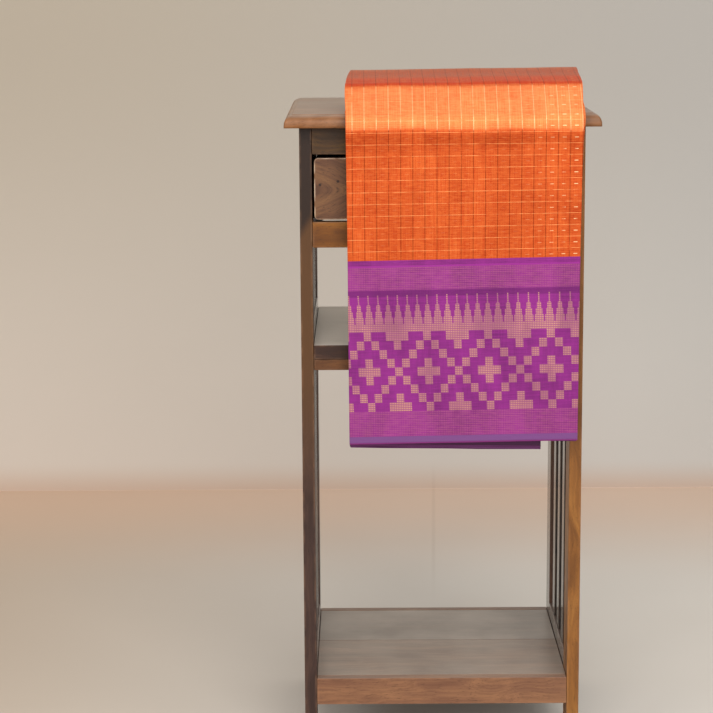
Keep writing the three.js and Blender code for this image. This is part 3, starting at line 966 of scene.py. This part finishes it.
# A row for each soft crease: where it is across and along the cloth, how far it reaches to either side
# and up or down, and how much it stands out, all in millimetres. Those past 600 are on the rear half.
CREASE_COLUMNS = ("across", "along", "wide", "tall", "out")
CREASE_ROWS = [
    (-74, 379, 40, 7, -0.9),
    (-8, 375, 34, 9, -0.7),
    (52, 373, 46, 8, -1.0),
    (128, 376, 38, 7, -0.8),
    (-100, 393, 20, 7, 0.6),
    (-40, 396, 26, 8, 0.7),
    (88, 394, 30, 8, 0.7),
    (24, 392, 18, 6, 0.5),
    (-66, 214, 12, 22, 0.7),
    (-88, 300, 9, 60, 0.4),
    (36, 318, 12, 48, -0.4),
    (112, 290, 10, 60, 0.4),
    (148, 330, 8, 40, -0.4),
    (-20, 120, 26, 60, 0.4),
    (96, 96, 20, 70, -0.4),
    (-60, 470, 30, 12, 0.5),
    (70, 476, 44, 10, 0.6),
    (20, 540, 60, 14, -0.5),
    (-50, 845, 30, 30, 0.5),
    (60, 900, 16, 70, -0.5),
    (110, 980, 14, 60, 0.5),
    (-80, 1040, 16, 50, 0.4),
]
CREASES = [dict(zip(CREASE_COLUMNS, row)) for row in CREASE_ROWS]


def creases(across, along):
    total = 0.0
    for crease in CREASES:
        away = ((across - crease["across"]) / crease["wide"]) ** 2
        away += ((along - crease["along"]) / crease["tall"]) ** 2
        if away < 9:
            total += crease["out"] * math.exp(-away)
    return total


def soft_waves(across, along):
    """The gentle unevenness of cloth that lies on cloth, in millimetres."""
    broad = noise.noise(Vector((across * 0.011, along * 9.0, 0.3)))
    small = noise.noise(Vector((across * 0.035, along * 24.0, 4.1)))
    return 0.55 * broad + 0.22 * small


def sheet_point(sample, along, column):
    """Where a column of the grid lies, and how far across the cloth it is in millimetres."""
    left, right = sample["left"], sample["right"]
    if column < EDGE_COLUMNS:
        inwards, depth, length = edge_profile(column)
        across, on_cloth = left + inwards, left + EDGE_RADIUS - length
    elif column > SHEET_COLUMNS - EDGE_COLUMNS:
        inwards, depth, length = edge_profile(SHEET_COLUMNS - column)
        across, on_cloth = right - inwards, right - EDGE_RADIUS + length
    else:
        share = (column - EDGE_COLUMNS) / MIDDLE_COLUMNS
        across = left + EDGE_RADIUS + (right - left - 2 * EDGE_RADIUS) * share
        depth, on_cloth = 0.0, across
    depth -= soft_waves(across, along) + creases(across, along / MM)
    return bundle_point(sample, across, depth), on_cloth


def outer_layer():
    sheet = bmesh.new()
    rows = len(PATH) - 1
    bmesh.ops.create_grid(sheet, x_segments=SHEET_COLUMNS, y_segments=rows, size=0.5)
    cloth = sheet.verts.layers.float_vector.new("cloth")
    for vertex in sheet.verts:
        column = round((vertex.co.x + 0.5) * SHEET_COLUMNS)
        row = round((vertex.co.y + 0.5) * rows)
        vertex.co, on_cloth = sheet_point(PATH[row], ALONG[row], column)
        vertex[cloth] = Vector((on_cloth * MM, ALONG[row], 0.0))
    return sheet


OUTER_NODES = [
    "saree_border_front", "saree_hang_front", "saree_slope", "saree_top",
    "saree_underside", "saree_hang_rear", "saree_border_rear",
]
print("the outer layer has", SHEET_COLUMNS, "columns and", len(PATH), "rows")

# %% [markdown]
# ## The hidden layers
#
# Between the outer layer and the core lie some forty thicknesses of silk. Only their edges show, at the
# sides, at the hems and in the back fold. A leaf stands for a few of them: a flattened tube, as a folded
# cloth is, bent along the same path at its own depth. A cylinder is the ready-made closed tube, and
# each of its points knows its angle and its height, so it knows where it goes.

# %% A flat tube
TUBE_SIDES = 28
TUBE_FLAT = 1.5  # how soon a tube's face turns flat, away from its round sides


def clamp(value):
    return max(-1.0, min(1.0, value))


def tube_place(left, right, thick, side, out):
    """Where a tube's point is across the bundle, and how far it stands out from the tube's middle."""
    half = (right - left - thick) / 2
    across = (left + right) / 2 + half * clamp(side * TUBE_FLAT) + thick / 2 * side
    return across, thick / 2 * clamp(out * TUBE_FLAT)


def add_flat_tube(shape, rows, place):
    """Adds a closed tube. place turns sideways and outwards, from -1 to 1, and along, from 0 to 1, into
    a point, and its place on the cloth."""
    cloth = shape.verts.layers.float_vector["cloth"]
    old = len(shape.verts)
    bmesh.ops.create_cone(
        shape, cap_ends=True, segments=TUBE_SIDES, radius1=1.0, radius2=1.0, depth=1.0
    )
    shape.verts.ensure_lookup_table()
    ends = shape.verts[old:]
    upright = {e for v in ends for e in v.link_edges if abs(e.verts[0].co.z - e.verts[1].co.z) > 0.5}
    bmesh.ops.subdivide_edges(shape, edges=list(upright), cuts=rows - 1)
    shape.verts.ensure_lookup_table()
    for vertex in shape.verts[old:]:
        side, out, share = vertex.co.x, vertex.co.y, vertex.co.z + 0.5
        vertex.co, vertex[cloth] = place(side, out, share)


def tubes(places, rows):
    """Closed tubes in one shape, one for each place, with every face pointing out."""
    shape = bmesh.new()
    shape.verts.layers.float_vector.new("cloth")
    for place in places:
        add_flat_tube(shape, rows, place)
    bmesh.ops.recalc_face_normals(shape, faces=shape.faces)
    return shape


# %% The leaves
LEAF_COUNT = 9
LEAF_ROWS = 190
FIRST_DEPTH = 2.4
CORE_CLEARANCE = 0.15
LEAF_FILL = 0.82
LEAF_INSET = 1.8
EDGE_WANDER = 1.1
LEAF_SHIFT = 0.0377  # how far the weave moves from one leaf to the next, in metres
SEAM_LENGTH = 231.5 * MM  # from each hem to the colour line
LEAF_STARTS = (1.2, 0.4, 2.1, 0.8, 1.7, 2.6, 0.9, 1.4, 2.2)  # how much higher each leaf's hem is, in mm


def sample_at(length):
    """The sample at a length in metres along the path."""
    return PATH[min(bisect.bisect_left(ALONG, length), len(PATH) - 1)]


def leaf_edges(sample, leaf, along, side):
    """The side edges of a leaf, uneven by a millimetre or so. Some leaves reach out at the right."""
    wander = EDGE_WANDER * noise.noise(Vector((leaf * 3.7, along * 14.0, 7.0 + side)))
    own = 0.9 * noise.noise(Vector((leaf * 1.9, 0.5, side)))
    inner = sample["inner"]
    reach = inner * max(1.0 - leaf / 5.0, 0.0) if inner > 0 else inner
    return sample["left"] + LEAF_INSET + wander + own, sample["right"] - LEAF_INSET + 0.6 + reach + wander


def leaf_place(leaf, start, end):
    def place(side, out, share):
        along = start + (end - start) * share
        sample = sample_at(along)
        pitch = (half_thickness(sample) - FIRST_DEPTH - CORE_CLEARANCE) / LEAF_COUNT
        thick = pitch * LEAF_FILL
        left, right = leaf_edges(sample, leaf, along, 1.0 if side > 0 else -1.0)
        across, outwards = tube_place(left, right, thick, side, out)
        depth = FIRST_DEPTH + pitch * (leaf + 0.5) - outwards
        on_cloth = Vector((across * MM + LEAF_SHIFT * leaf, along, leaf + 1.0))
        return bundle_point(sample, across, depth), on_cloth

    return place


def hidden_leaves():
    end = CLOTH_WIDTH - SEAM_LENGTH
    return tubes([leaf_place(leaf, hem * MM, end) for leaf, hem in enumerate(LEAF_STARTS)], LEAF_ROWS)


LEAF_NODES = ["saree_layers_border", "saree_layers_hang", "saree_layers_slope", "saree_layers_top"]
print(LEAF_COUNT, "leaves")

# %% The low leaves, behind the front border
# depth from the rear face, thickness, left, right, and how far each hangs below the front hem, in mm.
LOW_LEAF_COLUMNS = ("depth", "thick", "left", "right", "drop")
LOW_LEAF_ROWS = [
    (2.9, 0.8, -115.8, 122.9, 9.4),
    (3.9, 0.8, -116.6, 122.4, 8.0),
    (4.9, 0.8, -115.4, 122.8, 6.4),
    (5.8, 0.7, -116.2, 121.9, 4.9),
    (2.9, 0.8, 123.6, 166.9, -2.0),
    (3.9, 0.8, 123.6, 166.2, -3.0),
    (4.9, 0.8, 123.6, 167.1, -2.4),
    (5.8, 0.7, 123.6, 166.5, -3.4),
]
LOW_LEAVES = [dict(zip(LOW_LEAF_COLUMNS, row)) for row in LOW_LEAF_ROWS]
LOW_RISE = -0.0145  # how much higher their hems are towards the right, per mm
LOW_ROWS = 40
LOW_SHIFT = 0.021  # how far the weave moves from one low leaf to the next, in metres
LOW_MARK = 20.0  # the third part of the value cloth is this and more on the low leaves


def low_leaf_place(leaf, number):
    hem, seam = SECTIONS[0], SECTIONS[2]

    def place(side, out, share):
        across, outwards = tube_place(leaf["left"], leaf["right"], leaf["thick"], side, out)
        depth = leaf["depth"] - outwards
        top = TABLE_TOP + seam["up"] + seam["rise"] * across
        wave = 0.8 * noise.noise(Vector((across * 0.03, number * 2.3, 0.0)))
        foot = TABLE_TOP + hem["up"] - leaf["drop"] + LOW_RISE * across + wave
        z = foot + (top - foot) * share
        along = (z - foot) * MM
        y = TABLE_FRONT - LAYER_GAP - depth
        on_cloth = Vector((across * MM + LOW_SHIFT * number, along, number + LOW_MARK))
        return Vector((across, y, z)) * MM, on_cloth

    return place


def low_leaves():
    return tubes([low_leaf_place(leaf, number) for number, leaf in enumerate(LOW_LEAVES)], LOW_ROWS)


print(len(LOW_LEAVES), "low leaves")

# %% [markdown]
# ## Silk: threads, checks, the woven border and painted light
#
# The pattern is woven, so it is drawn by formulas on the cloth's own measures and not painted. Three
# groups do it. Threads gives the fine streaks of warp and weft. Check gives the dark lines that run
# down, the fine pale ones that cross them, and short dashes of metal thread. The border has rows of
# temple spires over a lattice of stepped diamonds. Counted in weaving cells from a diamond's middle,
# with a cells to the side and b cells up or down, a cell is gold where a + b is 4, the outline, 0 or 1,
# the small cross, or 7 and more, the steps between two diamonds. Over the weave the colour also holds
# painted light: a painted sheen and painted glints where the cloth slopes to the light, painted shade
# on the crest, under the bend and on the low leaves, and a painted reflection where it lies flat.


# %% The threads group
WEFT_LINES = 2.3 * MM
WARP_LINES = 2.9 * MM
THREAD_NOISES = {
    # how many to a metre across and along the cloth, detail, roughness, and where the streaks start and end
    "Warp": (620.0, 22.0, 2.0, 0.7, 0.32, 0.68),
    "Weft": (22.0, 560.0, 2.0, 0.7, 0.32, 0.68),
    "Slub": (90.0, 380.0, 3.0, 0.7, 0.35, 0.65),
    "Broad": (18.0, 9.0, 3.0, 0.6, 0.35, 0.65),
}


def threads_group():
    """Warp, Weft and Slub are streaks of single threads, Broad is slow change of tint, Lines a fine grid."""
    names = (*THREAD_NOISES, "Lines", "Height")
    graph, given, result = new_group("silk_threads", {"Cloth": "Vector"}, dict.fromkeys(names, "Float"))
    place = given["Cloth"]
    found = {}
    for name, (across, along, detail, roughness, low, high) in THREAD_NOISES.items():
        found[name] = graph.noise(place, (across, along, 5.0), detail, roughness)
        graph.put(result[name], graph.rise(found[name], low, high))
    parts = graph.parts(place)
    rows = graph.math("PINGPONG", graph.math("DIVIDE", parts["Y"], WEFT_LINES), 0.5)
    columns = graph.math("PINGPONG", graph.math("DIVIDE", parts["X"], WARP_LINES), 0.5)
    lines = graph.times(graph.rise(rows, 0.12, 0.36), graph.scaled(columns, 1.5, 0.25))
    height = graph.plus(graph.plus(found["Warp"], found["Weft"]), found["Slub"])
    graph.give(result, Lines=lines, Height=height)
    return graph.tree


THREADS = threads_group()
print(THREADS.name, "has", len(THREADS.nodes), "nodes")

# %% The check group
CHECK_PITCH = 14.8 * MM
CHECK_SHIFT = 0.52
WEFT_PITCH = 14.5 * MM
WEFT_SHIFT = 0.26
DARK_LINE = 0.030  # half a line's width, in cells
LIGHT_LINE = 0.022


def check_group():
    outputs = dict.fromkeys(("Dark", "Light", "Dash", "Cell"), "Float")
    graph, given, result = new_group("saree_check", {"Cloth": "Vector"}, outputs)
    parts = graph.parts(given["Cloth"])
    column = graph.plus(graph.math("DIVIDE", parts["X"], CHECK_PITCH), CHECK_SHIFT)
    row = graph.plus(graph.math("DIVIDE", parts["Y"], WEFT_PITCH), WEFT_SHIFT)
    from_line = graph.math("PINGPONG", column, 0.5)
    from_row = graph.math("PINGPONG", row, 0.5)
    broken = graph.noise(given["Cloth"], stretch=(70.0, 40.0, 5.0), detail=3.0, roughness=0.7)
    dark = graph.fall(from_line, DARK_LINE * 0.5, DARK_LINE * 1.5)
    light = graph.fall(from_row, LIGHT_LINE * 0.5, LIGHT_LINE * 1.5)
    middle = graph.times(graph.rise(from_row, 0.455, 0.485), graph.rise(from_line, 0.31, 0.38))
    to_right = graph.scaled(graph.rise(parts["X"], 0.09, 0.165), 0.82, 0.07)
    shown = graph.times(to_right, graph.rise(broken, 0.3, 0.6))
    corner = graph.joined(graph.math("FLOOR", column), graph.math("FLOOR", row), parts["Z"])
    graph.give(
        result, Dark=graph.times(dark, graph.rise(broken, 0.25, 0.5)),
        Light=graph.times(light, graph.rise(broken, 0.3, 0.62)), Dash=graph.times(middle, shown),
        Cell=graph.node("TexWhiteNoise", corner).outputs["Value"],
    )
    return graph.tree


CHECK = check_group()
print(CHECK.name, "has", len(CHECK.nodes), "nodes")

# %% The border's measures, in metres below the colour line
LEAN_LEFT = 0.058  # how far the pattern drifts right for each metre down, at the left edge and the right
LEAN_RIGHT = 0.030
STRETCH = 0.9943  # the weave is a little wider towards the right
STRETCH_SLOPE = -0.1603
LINED_BAND = (8.8 * MM, 37.1 * MM)
TEMPLE_TIP = 43.3 * MM
TEMPLE_STEPS = (55.6 * MM, 63.4 * MM, 71.3 * MM)  # where a spire widens
TEMPLE_WIDTHS = (0.75 * MM, 1.75 * MM, 1.5 * MM, 1.4 * MM)  # half of the needle, then what each step adds
TEMPLE_FOOT = 79.3 * MM
TEMPLE_PITCH = 12.35 * MM
TEMPLE_SHIFT = -2.34 * MM
GRID_TOP = 89.3 * MM
GRID_CELL = (9.45 * MM, 11.16 * MM)
GRID_ROWS = 9
GRID_SHIFT = 2.6
LOW_BAND = (189.7 * MM, 221.4 * MM)
SELVEDGE_EDGE = 229.6 * MM


# %% The border group
def border_group():
    inputs = {"Across": "Float", "Depth": "Float"}
    graph, given, result = new_group("temple_border", inputs, {"Zari": "Float", "Lined": "Float"})
    across, depth = given["Across"], given["Depth"]
    lean = graph.node("MapRange", across, -0.117, 0.168, LEAN_LEFT, LEAN_RIGHT).outputs[0]
    straight = graph.minus(across, graph.times(depth, lean))
    place = graph.times(straight, graph.scaled(straight, STRETCH_SLOPE, STRETCH))
    # Temple spires: a needle that widens by three steps.
    from_spire = graph.math("PINGPONG", graph.plus(place, TEMPLE_SHIFT), TEMPLE_PITCH / 2)
    half = TEMPLE_WIDTHS[0]
    for step, width in zip(TEMPLE_STEPS, TEMPLE_WIDTHS[1:]):
        half = graph.scaled(graph.rise(depth, step - 0.5 * MM, step + 0.5 * MM), width, half)
    inside = graph.rise(graph.minus(half, from_spire), -0.3 * MM, 0.3 * MM)
    spires = graph.times(inside, graph.within(depth, TEMPLE_TIP, TEMPLE_FOOT, 1.0 * MM))
    solid = graph.within(depth, TEMPLE_FOOT, GRID_TOP, 0.5 * MM)
    # The lattice of stepped diamonds.
    column = graph.plus(graph.math("DIVIDE", place, GRID_CELL[0]), GRID_SHIFT)
    beside = graph.math("FLOOR", graph.plus(graph.math("PINGPONG", column, 4.0), 0.5))
    row = graph.math("FLOOR", graph.math("DIVIDE", graph.minus(depth, GRID_TOP), GRID_CELL[1]))
    count = graph.plus(beside, graph.math("ABSOLUTE", graph.minus(row, 4.0)))
    outline = graph.math("COMPARE", count, 4.0, 0.5)
    cross = graph.math("LESS_THAN", count, 1.5)
    steps = graph.math("GREATER_THAN", count, 6.5)
    in_grid = graph.within(depth, GRID_TOP, GRID_TOP + GRID_ROWS * GRID_CELL[1], 0.1 * MM)
    lattice = graph.times(graph.most(outline, cross, steps), in_grid)
    upper = graph.within(depth, *LINED_BAND, 0.8 * MM)
    lower = graph.within(depth, *LOW_BAND, 0.8 * MM)
    graph.give(result, Zari=graph.most(lattice, spires, solid), Lined=graph.plus(upper, lower))
    return graph.tree


BORDER = border_group()
print(BORDER.name, "has", len(BORDER.nodes), "nodes")

# %% The silk's colours
ORANGE = tint("c24019")
ORANGE_PALE = tint("e27236")
ORANGE_DEEP = tint("a02a0c")
CHECK_DARK = tint("7a2208")
CHECK_LIGHT = tint("ffb070")
GOLD_DASH = tint("ffdca8")
PURPLE = tint("7a2070")
PURPLE_DEEP = tint("541254")
PURPLE_BRIGHT = tint("962c8c")
ROSE_GOLD = tint("cc987c")
ROSE_LINE = tint("b86a82")
SELVEDGE = tint("744680")
SELVEDGE_THREAD = tint("8c3482")
PLUM_SHADE = tint("30142c")
# Painted shade on the crest, and a painted reflection where the cloth lies flat behind it.
CREST_SHADE_RED = tint("c02406")
MAUVE_REFLECTION = tint("9c5c4c")
WIRE_PAINTED_GLINT = tint("ffd8a0")
# The orange of the slope, paler where it faces the light: a painted sheen.
SLOPE_SHEEN = tint("e2743a")
SLOPE_SHEEN_PALE = tint("fc9e62")
SLOPE_SHEEN_DEEP = tint("cc582a")
HEM_THREAD = tint("74407a")
SHINES = (tint("ffc080"), tint("ffd0e8"))  # the silk's highlights, on the body and on the border
# Bands that lie across the cloth, from and to, in metres from the front hem: painted shade under the
# bend and low at the right, and a painted reflection behind the crest.
UNDER_BEND = (0.366, 0.386)
LOW_RIGHT = (0.262, 0.305)
BEHIND_CREST = (0.506, 0.574)


def body_colour(graph, cloth, threads, painted_sheen):
    """The orange ground with its checks, painted paler where the cloth leans back to the light, a painted
    sheen, and with its dark wires painted pale gold there, a painted glint.
    """
    check = graph.use(CHECK, Cloth=cloth)
    # Where the cloth leans back to the light the ground is painted paler: a painted sheen.
    plain = graph.mix(painted_sheen, ORANGE, SLOPE_SHEEN)
    pale = graph.mix(painted_sheen, ORANGE_PALE, SLOPE_SHEEN_PALE)
    deep = graph.mix(painted_sheen, ORANGE_DEEP, SLOPE_SHEEN_DEEP)
    # Two places where the silk turns away from the light: under the bend, and low at the right.
    parts = graph.parts(cloth)
    under = graph.within(parts["Y"], *UNDER_BEND, 0.012)
    low = graph.times(graph.within(parts["Y"], *LOW_RIGHT, 0.03), graph.rise(parts["X"], 0.04, 0.13))
    shade = graph.times(graph.most(under, low), threads["Broad"])
    colour = graph.layers(
        plain,
        (threads["Warp"], 0.65, pale),
        (threads["Weft"], 0.3, deep),
        (check["Cell"], 0.35, deep),
        (threads["Broad"], 0.45, deep),
        (shade, 0.8, deep),
        (threads["Slub"], 0.3, pale),
        (threads["Lines"], 0.25, pale),
        # There the dark wires are painted pale gold: a painted glint.
        (check["Dark"], graph.scaled(painted_sheen, -0.5, 0.85), graph.mix(painted_sheen, CHECK_DARK, WIRE_PAINTED_GLINT)),
        (check["Light"], graph.scaled(painted_sheen, -0.3, 0.6), CHECK_LIGHT),
        (check["Dash"], 1.0, GOLD_DASH),
    )
    return colour, check


def border_colour(graph, across, depth, threads):
    """The purple border with its woven rows, and how much of it is metal thread."""
    rows = graph.use(BORDER, Across=across, Depth=depth)
    grid = graph.scaled(threads["Lines"], 0.38, graph.times(threads["Slub"], 0.14))
    lined = graph.times(rows["Lined"], grid)
    lit = graph.scaled(threads["Broad"], 0.65, 0.35)
    zari = graph.times(rows["Zari"], graph.scaled(threads["Lines"], lit, 0.2))
    colour = graph.layers(
        PURPLE,
        (threads["Warp"], 0.4, PURPLE_BRIGHT),
        (threads["Weft"], 0.5, PURPLE_DEEP),
        (threads["Broad"], 0.6, PURPLE_BRIGHT),
        (graph.within(depth, LINED_BAND[1], TEMPLE_TIP + 2 * MM, 2.0 * MM), 0.5, PURPLE_DEEP),
        (graph.within(depth, 6.6 * MM, LINED_BAND[0], 0.8 * MM), 0.8, PURPLE_BRIGHT),
        (lined, 1.0, ROSE_LINE),
        (zari, 1.0, ROSE_GOLD),
        (graph.rise(depth, LOW_BAND[1], LOW_BAND[1] + 1 * MM), 1.0, SELVEDGE),
        (graph.rise(depth, SELVEDGE_EDGE, SELVEDGE_EDGE + 0.6 * MM), 1.0, SELVEDGE_THREAD),
    )
    return colour, zari, lined


# %% The silk material
def silk_material():
    """One material for all of the cloth. The low leaves are painted dark plum, as painted shade, with a paler
    hem.
    """
    material, graph, shader = new_material(
        "saree_silk", Specular_IOR_Level=0.42, Sheen_Weight=0.1, Sheen_Roughness=0.4,
        Sheen_Tint=(1.0, 0.62, 0.36), Coat_Roughness=0.3,
    )
    cloth = graph.attribute("cloth")
    parts = graph.parts(cloth)
    threads = graph.use(THREADS, Cloth=cloth)
    near = graph.minus(SEAM_LENGTH, parts["Y"])
    depth = graph.most(near, graph.minus(parts["Y"], CLOTH_WIDTH - SEAM_LENGTH))
    up = graph.upward()
    # The mask of the painted sheen: where the cloth slopes up towards the front softbox.
    steep = graph.scaled(graph.rise(up, 0.2, 0.7), 0.35, 0.65)
    painted_sheen = graph.times(graph.within(up, 0.13, 0.84, 0.14), steep)
    orange, check = body_colour(graph, cloth, threads, painted_sheen)
    # Past the crest the cloth is painted a deeper red, painted shade, then a dull mauve, a painted
    # reflection of the pale paper at a grazing look, and orange again at the back fold. Its dark lines are
    # painted darker there too.
    streaks = graph.scaled(threads["Warp"], -0.4, 0.8)
    crest = graph.times(graph.rise(up, 0.84, 0.92), graph.fall(parts["Y"], 0.52, 0.58))
    flat = graph.times(graph.within(parts["Y"], *BEHIND_CREST, 0.03), streaks)
    lying = graph.times(check["Dark"], graph.most(crest, flat))
    purple, zari, lined = border_colour(graph, parts["X"], depth, threads)
    in_border = graph.rise(depth, -0.3 * MM, 0.3 * MM)
    # The low leaves are painted dark plum: painted shade, as they hang in shadow behind the front hem.
    low = graph.math("GREATER_THAN", parts["Z"], LOW_MARK - 0.5)
    painted_plum_shade = graph.mix(graph.rise(parts["Y"], 0.5 * MM, 1.0 * MM), HEM_THREAD, PLUM_SHADE)
    colour = graph.layers(
        orange,
        (crest, streaks, CREST_SHADE_RED),
        (flat, 1.0, MAUVE_REFLECTION),
        (lying, 0.6, CHECK_DARK),
        (in_border, 1.0, purple),
        (low, 0.85, painted_plum_shade),
    )
    metal = graph.times(in_border, graph.scaled(lined, 0.3, zari))
    wires = graph.most(check["Dark"], check["Dash"], check["Light"])
    wires = graph.times(graph.times(graph.minus(1.0, in_border), painted_sheen), wires)
    rough = graph.scaled(threads["Slub"], 0.12, 0.4)
    height = graph.scaled(graph.plus(zari, check["Light"]), 0.6, threads["Height"])
    graph.give(
        shader, Base_Color=colour, Specular_Tint=graph.mix(in_border, *SHINES),
        Metallic=graph.scaled(metal, 0.3, 0.2), Roughness=graph.scaled(wires, -0.16, rough),
        Coat_Weight=graph.times(wires, 0.4), Normal=graph.relief(height, 0.5, 0.0003),
    )
    return material


SILK = silk_material()
print(SILK.name, "has", len(SILK.node_tree.nodes), "nodes")

# %% [markdown]
# ## Putting the saree together
#
# The three shapes become pieces. The outer layer is a single surface so far, and a Solidify modifier
# gives it the thickness of silk, inwards. The saree's own width runs along the path.

# %% The saree's pieces
outer_piece = new_piece("saree_outer_layer", outer_layer(), SILK, OUTER_NODES)
outer_piece.data.shade_smooth()
wall = outer_piece.modifiers.new("wall", "SOLIDIFY")
wall.thickness = SHEET_THICKNESS * MM
wall.offset = -1.0

leaves_piece = new_piece("saree_hidden_leaves", hidden_leaves(), SILK, LEAF_NODES)
leaves_piece.data.shade_smooth()

low_piece = new_piece("saree_low_leaves", low_leaves(), SILK, ["saree_layers_low"])
low_piece.data.shade_smooth()
for piece in (outer_piece, leaves_piece, low_piece):
    print(piece.name, len(piece.data.polygons), "faces")
